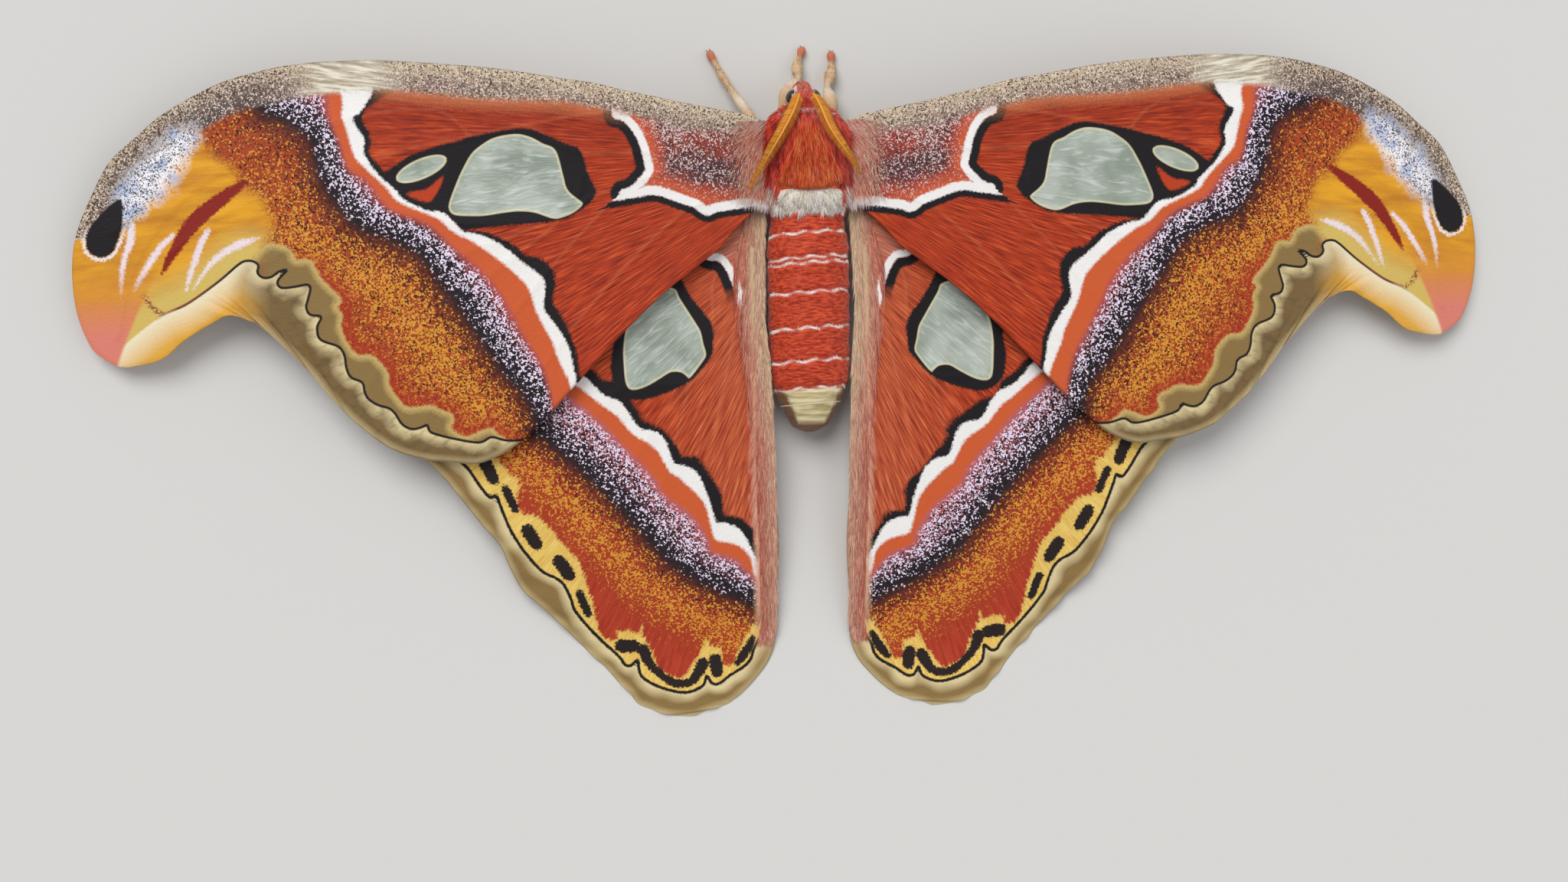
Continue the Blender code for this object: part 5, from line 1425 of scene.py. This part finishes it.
FORE_LEG_RIGHT = [
    (2.6, 42.8, 4.4, 0.9), (3.4, 43.3, 3.6, 0.9), (5.2, 45.0, 4.0, 0.95), (5.5, 46.6, 3.8, 1.35),
    (5.3, 48.3, 3.2, 1.3), (5.1, 50.0, 2.4, 0.6), (5.7, 51.7, 1.9, 1.15), (6.1, 53.2, 1.4, 0.85),
    (6.25, 54.4, 1.0, 0.5), (6.25, 55.6, 0.75, 0.85), (6.3, 56.2, 0.5, 0.5)]
FORE_LEG_LEFT = [
    (-2.6, 42.8, 4.4, 0.9), (-3.0, 44.4, 3.6, 0.9), (-2.7, 46.6, 4.0, 1.0), (-2.0, 48.4, 3.8, 1.6),
    (-0.9, 50.0, 3.2, 1.3), (0.2, 51.5, 2.4, 0.6), (0.1, 53.0, 1.9, 1.1), (0.3, 54.2, 1.4, 0.85),
    (0.7, 55.3, 1.0, 0.5), (1.15, 56.4, 0.75, 0.85), (1.3, 57.0, 0.5, 0.5)]
MIDDLE_LEG_LEFT = [
    (-3.6, 39.0, 3.8, 0.95), (-4.9, 39.6, 3.4, 1.0), (-7.2, 42.4, 5.8, 0.95), (-9.0, 45.6, 4.5, 0.95),
    (-10.4, 48.0, 3.2, 0.9), (-11.6, 50.1, 2.3, 0.6), (-12.6, 52.0, 1.7, 0.75), (-13.6, 54.0, 1.2, 0.5),
    (-14.4, 55.8, 0.8, 0.8), (-14.7, 56.5, 0.55, 0.5)]
MIDDLE_LEG_RIGHT = [
    (3.6, 39.0, 3.8, 0.95), (4.9, 39.4, 3.4, 1.0), (7.6, 40.4, 5.2, 1.05), (10.4, 40.6, 4.4, 0.95),
    (12.4, 40.2, 2.8, 0.85), (13.9, 39.4, 1.7, 0.6), (15.1, 38.2, 1.1, 0.6), (16.1, 36.9, 0.75, 0.8),
    (16.6, 36.2, 0.5, 0.5)]
HIND_LEG_RIGHT = [
    (3.6, 33.4, 3.8, 0.95), (4.9, 33.0, 3.3, 1.0), (8.0, 31.0, 5.0, 1.05), (10.8, 28.0, 4.4, 0.95),
    (12.6, 25.0, 3.0, 0.85), (13.8, 22.4, 1.8, 0.6), (14.5, 20.2, 1.1, 0.6), (14.9, 18.3, 0.75, 0.8),
    (15.1, 17.4, 0.5, 0.5)]
ANTENNA_RIGHT = [
    (1.25, 47.2, 12.0), (1.4, 46.7, 13.6), (1.95, 44.6, 15.9), (3.1, 41.2, 17.0), (4.9, 38.3, 17.1),
    (6.5, 36.2, 16.6), (7.7, 34.5, 15.8), (8.3, 33.5, 15.2)]
ANTENNA_LEFT = [
    (-1.25, 47.2, 12.0), (-1.4, 46.7, 13.6), (-2.6, 44.1, 16.0), (-4.4, 40.9, 16.8), (-6.5, 37.5, 16.4),
    (-8.3, 34.5, 15.4), (-9.4, 32.7, 14.6), (-10.0, 31.3, 14.0)]
LEGS = (("leg_fore_right", FORE_LEG_RIGHT, 41, 2000), ("leg_fore_left", FORE_LEG_LEFT, 42, 2000),
        ("leg_middle_left", MIDDLE_LEG_LEFT, 43, 2000), ("leg_middle_right", MIDDLE_LEG_RIGHT, 44, 1600),
        ("leg_hind_right", HIND_LEG_RIGHT, 45, 1600),
        ("leg_hind_left", [(-x, y, z, r) for x, y, z, r in HIND_LEG_RIGHT], 46, 1600))
SHIN_SHARE = 0.52
FOOT_LENGTH = 2.2
LEG_CORE = 0.88
LEG_FLOOR = 0.02
HAIR_FLOOR = 0.05
TEETH = 64


def frame_along(path):
    """Direction along a path, a level direction across it and one square to both."""
    ahead = unit(np.gradient(path, axis=0))
    across = unit(np.cross(ahead, (0.0, 0.0, 1.0)))
    return ahead, across, np.cross(across, ahead)


def outward(path, pick, turn):
    """Direction along a path at the picked points, and the direction out of it at a turn about it."""
    ahead, across, above = frame_along(path)
    return ahead[pick], np.cos(turn)[:, None] * across[pick] + np.sin(turn)[:, None] * above[pick]


def tube(curve, radii, sides):
    """Closed tube c(s) + r(s) (cos a across + sin a above), with a pole at each end."""
    _, across, above = frame_along(curve)
    a = np.arange(sides) * 2 * np.pi / sides
    rings = curve[:, None] + radii[:, None, None] * (np.cos(a)[None, :, None] * across[:, None]
                                                    + np.sin(a)[None, :, None] * above[:, None])
    points = np.vstack([curve[:1], rings.reshape(-1, 3), curve[-1:]])
    index = 1 + ring_index(len(curve) * sides, len(curve))
    caps = np.concatenate([[(0, index[0, k], index[0, k + 1]) for k in range(sides)],
                           [(len(points) - 1, index[-1, k + 1], index[-1, k]) for k in range(sides)]])
    share = np.concatenate([[0.0], np.repeat(lengths_along(curve), sides), [lengths_along(curve)[-1]]])
    return points, [grid_faces(index), caps], share


def leg_material():
    """Pale scaled legs with browner bands, a whitish shin, red-brown feet and dark claws."""
    g = Graph("leg_skin")
    tint = g.mark("tint")
    colour = g.fade(tint, 0.1, 0.9, tone(172, 118, 70), tone(250, 226, 184))
    band = g.noise(g.place(), 0.9, 2.0)
    colour = g.mix(g.ramp(band, 0.5, 0.7) * 0.5, colour, tone(180, 120, 76))
    foot = g.fade(tint, 0.1, 0.9, tone(160, 66, 36), tone(236, 150, 104))
    foot = g.fade(tint, 0.0, -0.5, foot, tone(60, 26, 16))
    colour = g.mix(g.mark("foot"), colour, foot)
    colour = g.mix(g.mark("shin") * 0.7, colour, tone(238, 226, 206))
    nap = g.noise(g.place(), 5.0, 3.0)
    return g.shaded(colour, Roughness=0.65, Normal=g.bump(nap, 0.5, 0.2), Sheen_Weight=0.2)


def leg_marks(at, total):
    """How much a place along a leg belongs to its foot and to its pale shin."""
    return {"foot": np.clip((at - total + FOOT_LENGTH) / 0.5, 0, 1),
            "shin": np.clip(1 - np.abs(at - SHIN_SHARE * total) / (0.14 * total), 0, 1)}


def claws(curve, ahead, across):
    """Two claws at the end of a leg."""
    end = np.repeat(curve[-1:], 2, axis=0) - ahead * 0.15
    end[:, 2] = np.maximum(end[:, 2], 0.3)
    spread = np.array([[0.55], [-0.55]]) * across + ahead + (0.0, 0.0, 0.35)
    points, faces, _, uv = strands(end, spread, (0.0, 0.0, -0.5), 0.85, 0.13, np.full((2, 2), 0.99))
    points[:, 2] = np.maximum(points[:, 2], LEG_FLOOR)
    return points, faces[0], uv


def make_leg(name, points, seed, count, material):
    """One leg with a stepped foot, a coat of short scales lying down it and two claws."""
    path = spline(points, 0.22)
    curve, radii = path[:, :3], path[:, 3] * LEG_CORE
    reach = lengths_along(curve)
    total = reach[-1]
    joints = np.clip((reach / total - 0.62) / 0.06, 0, 1) * np.clip((total - FOOT_LENGTH - reach) / 0.3, 0, 1)
    radii = radii * (1 + 0.2 * joints * ((reach / 0.95) % 1.0 - 0.5))
    shape, faces, run = tube(curve, radii, 18)
    shape[:, 2] = np.maximum(shape[:, 2], LEG_FLOOR)
    marks = {**leg_marks(run, total), "tint": np.full(len(run), 0.45)}
    obj = piece(name + "_skin", shape, faces, material, marks)
    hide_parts(name)
    rng = np.random.default_rng(seed)
    at = rng.uniform(0.08, 0.985, count) * total
    turn = rng.uniform(0, TURN, count)
    base = np.stack([np.interp(at, reach, curve[:, i]) for i in range(3)], 1)
    ahead, out = outward(curve, np.clip(np.searchsorted(reach, at), 0, len(reach) - 1), turn)
    roots = base + out * np.interp(at, reach, radii)[:, None] * 0.92
    lean = ahead + out * 0.2 + rng.normal(0, 0.1, (count, 3))
    length = rng.uniform(0.3, 0.62, count) * np.clip((total - at) / 1.5, 0.6, 1)
    keep = roots[:, 2] > 0.45
    hair, tris, _, uv = strands(roots[keep], lean[keep], -out[keep] * 0.12, length[keep], 0.055,
                                unwrap(turn / TURN, at / total)[keep])
    hair[:, 2] = np.maximum(hair[:, 2], HAIR_FLOOR)
    direction, across, _ = frame_along(curve)
    claw, claw_tris, claw_uv = claws(curve, direction[-1], across[-1])
    marks = leg_marks(np.append(at[keep], [total, total]), total)
    marks["tint"] = np.append(rng.random(keep.sum()), [-1.0, -1.0])
    marks = {key: np.repeat(value, HAIR_POINTS) for key, value in marks.items()}
    obj = piece(name + "_coat", np.vstack([hair, claw]), [tris[0], claw_tris + len(hair)], material, marks,
                np.vstack([uv, claw_uv]), "OFBake")


def make_legs():
    """All six legs."""
    material = leg_material()
    for leg in LEGS:
        make_leg(*leg, material)


def antenna_width(share):
    """Half-width of the comb along an antenna, widest a third of the way out."""
    return np.interp(share, [0, 0.06, 0.3, 0.6, 0.9, 1.0], [0.35, 1.1, 1.4, 1.15, 0.55, 0.12])


def antenna_material():
    """Golden brown, darker at the root of each tooth."""
    g = Graph("antenna_gold")
    colour = g.fade(g.mark("tint"), 0.0, 1.0, tone(206, 120, 26), tone(232, 158, 54))
    colour = g.mix(g.ramp(g.mark("along"), 0.3, 0.0) * 0.4, colour, tone(130, 62, 16))
    return g.shaded(colour, Roughness=0.45, Specular_IOR_Level=0.4)


def make_antenna(name, points, material, sign):
    """A stem with two rows of fine teeth, the outer row lying close, the inner row with gaps."""
    path = spline(points, 0.3)
    share = lengths_along(path) / lengths_along(path)[-1]
    stem, faces, _ = tube(path, 0.30 - 0.22 * share, 10)
    t = np.linspace(0.05, 0.99, TEETH)
    ahead, across, above = frame_along(path)
    bases = at_share(path, t)
    pick = np.clip((t * (len(path) - 1)).astype(int), 0, len(path) - 1)
    tint = np.repeat(np.random.default_rng(50).random(TEETH), HAIR_POINTS)
    shapes, alongs, tints = [stem], [np.full(len(stem), 0.6)], [np.full(len(stem), 0.8)]
    for hand, width, droop, taper in ((-sign, 0.30, 0.36, 0.25), (sign, 0.10, 0.14, 0.45)):
        out = across[pick] * hand + ahead[pick] * 0.42
        fall = -above[pick] * droop + ahead[pick] * 0.12
        length, patch = antenna_width(t) * 1.05, np.zeros((TEETH, 2))
        hair, tris, along, _ = strands(bases, out, fall, length, width, patch, taper)
        faces.append(tris[0] + sum(map(len, shapes)))
        shapes.append(hair)
        alongs.append(along)
        tints.append(tint)
    marks = {"along": np.concatenate(alongs), "tint": np.concatenate(tints)}
    obj = piece(name + "_comb", np.vstack(shapes), faces, material, marks)
    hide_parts(name)


def eye_material():
    """Near-black gloss with fine facets."""
    g = Graph("eye_gloss")
    colour = g.fade(g.noise(g.place(), 1.2, 2.0), 0.4, 0.7, tone(14, 11, 12), tone(44, 28, 22))
    facets = g.add("ShaderNodeTexVoronoi", None, {"Vector": g.place(), "Scale": 9.0, "Randomness": 0.2}, 0)
    normal = g.bump(facets, 0.25, 0.02)
    return g.shaded(colour, Roughness=0.16, Normal=normal, Coat_Weight=0.6, Coat_Roughness=0.05)


def make_eyes():
    """Each eye c + r s (0.9 sin b, cos b cos a, cos b sin a) with s = 1 + 0.03 cos 3b."""
    material = eye_material()
    a = np.linspace(0, TURN, 49)[:-1]
    b = np.linspace(-np.pi / 2, np.pi / 2, 33)
    grid_b, grid_a = np.meshgrid(b, a, indexing="ij")
    swell = 1.0 + 0.03 * np.cos(3 * grid_b)
    x = EYE_CENTRE[0] + 0.9 * EYE_RADIUS * swell * np.sin(grid_b)
    y = EYE_CENTRE[1] + EYE_RADIUS * swell * np.cos(grid_b) * np.cos(grid_a)
    z = EYE_CENTRE[2] + EYE_RADIUS * swell * np.cos(grid_b) * np.sin(grid_a)
    points, faces = skin(np.stack([x, y, z], -1).reshape(-1, 3), len(b))
    for label in ("right", "left"):
        if label == "left":
            points, faces = mirrored(points, faces)
        obj = piece("eye_globe_" + label, points, faces, material)
        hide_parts("eye_" + label)


make_wings()
fur = coat_material("body_coat")
make_body(fur)
make_thorax_fur(fur)
make_collar(fur)
make_abdomen_fur(fur)
make_head_fur(fur)
make_palps(fur)
make_belly_fur(fur)
make_wing_hair()
make_legs()
gold = antenna_material()
make_antenna("antenna_right", ANTENNA_RIGHT, gold, 1.0)
make_antenna("antenna_left", ANTENNA_LEFT, gold, -1.0)
make_eyes()
make_camera()
make_stage()
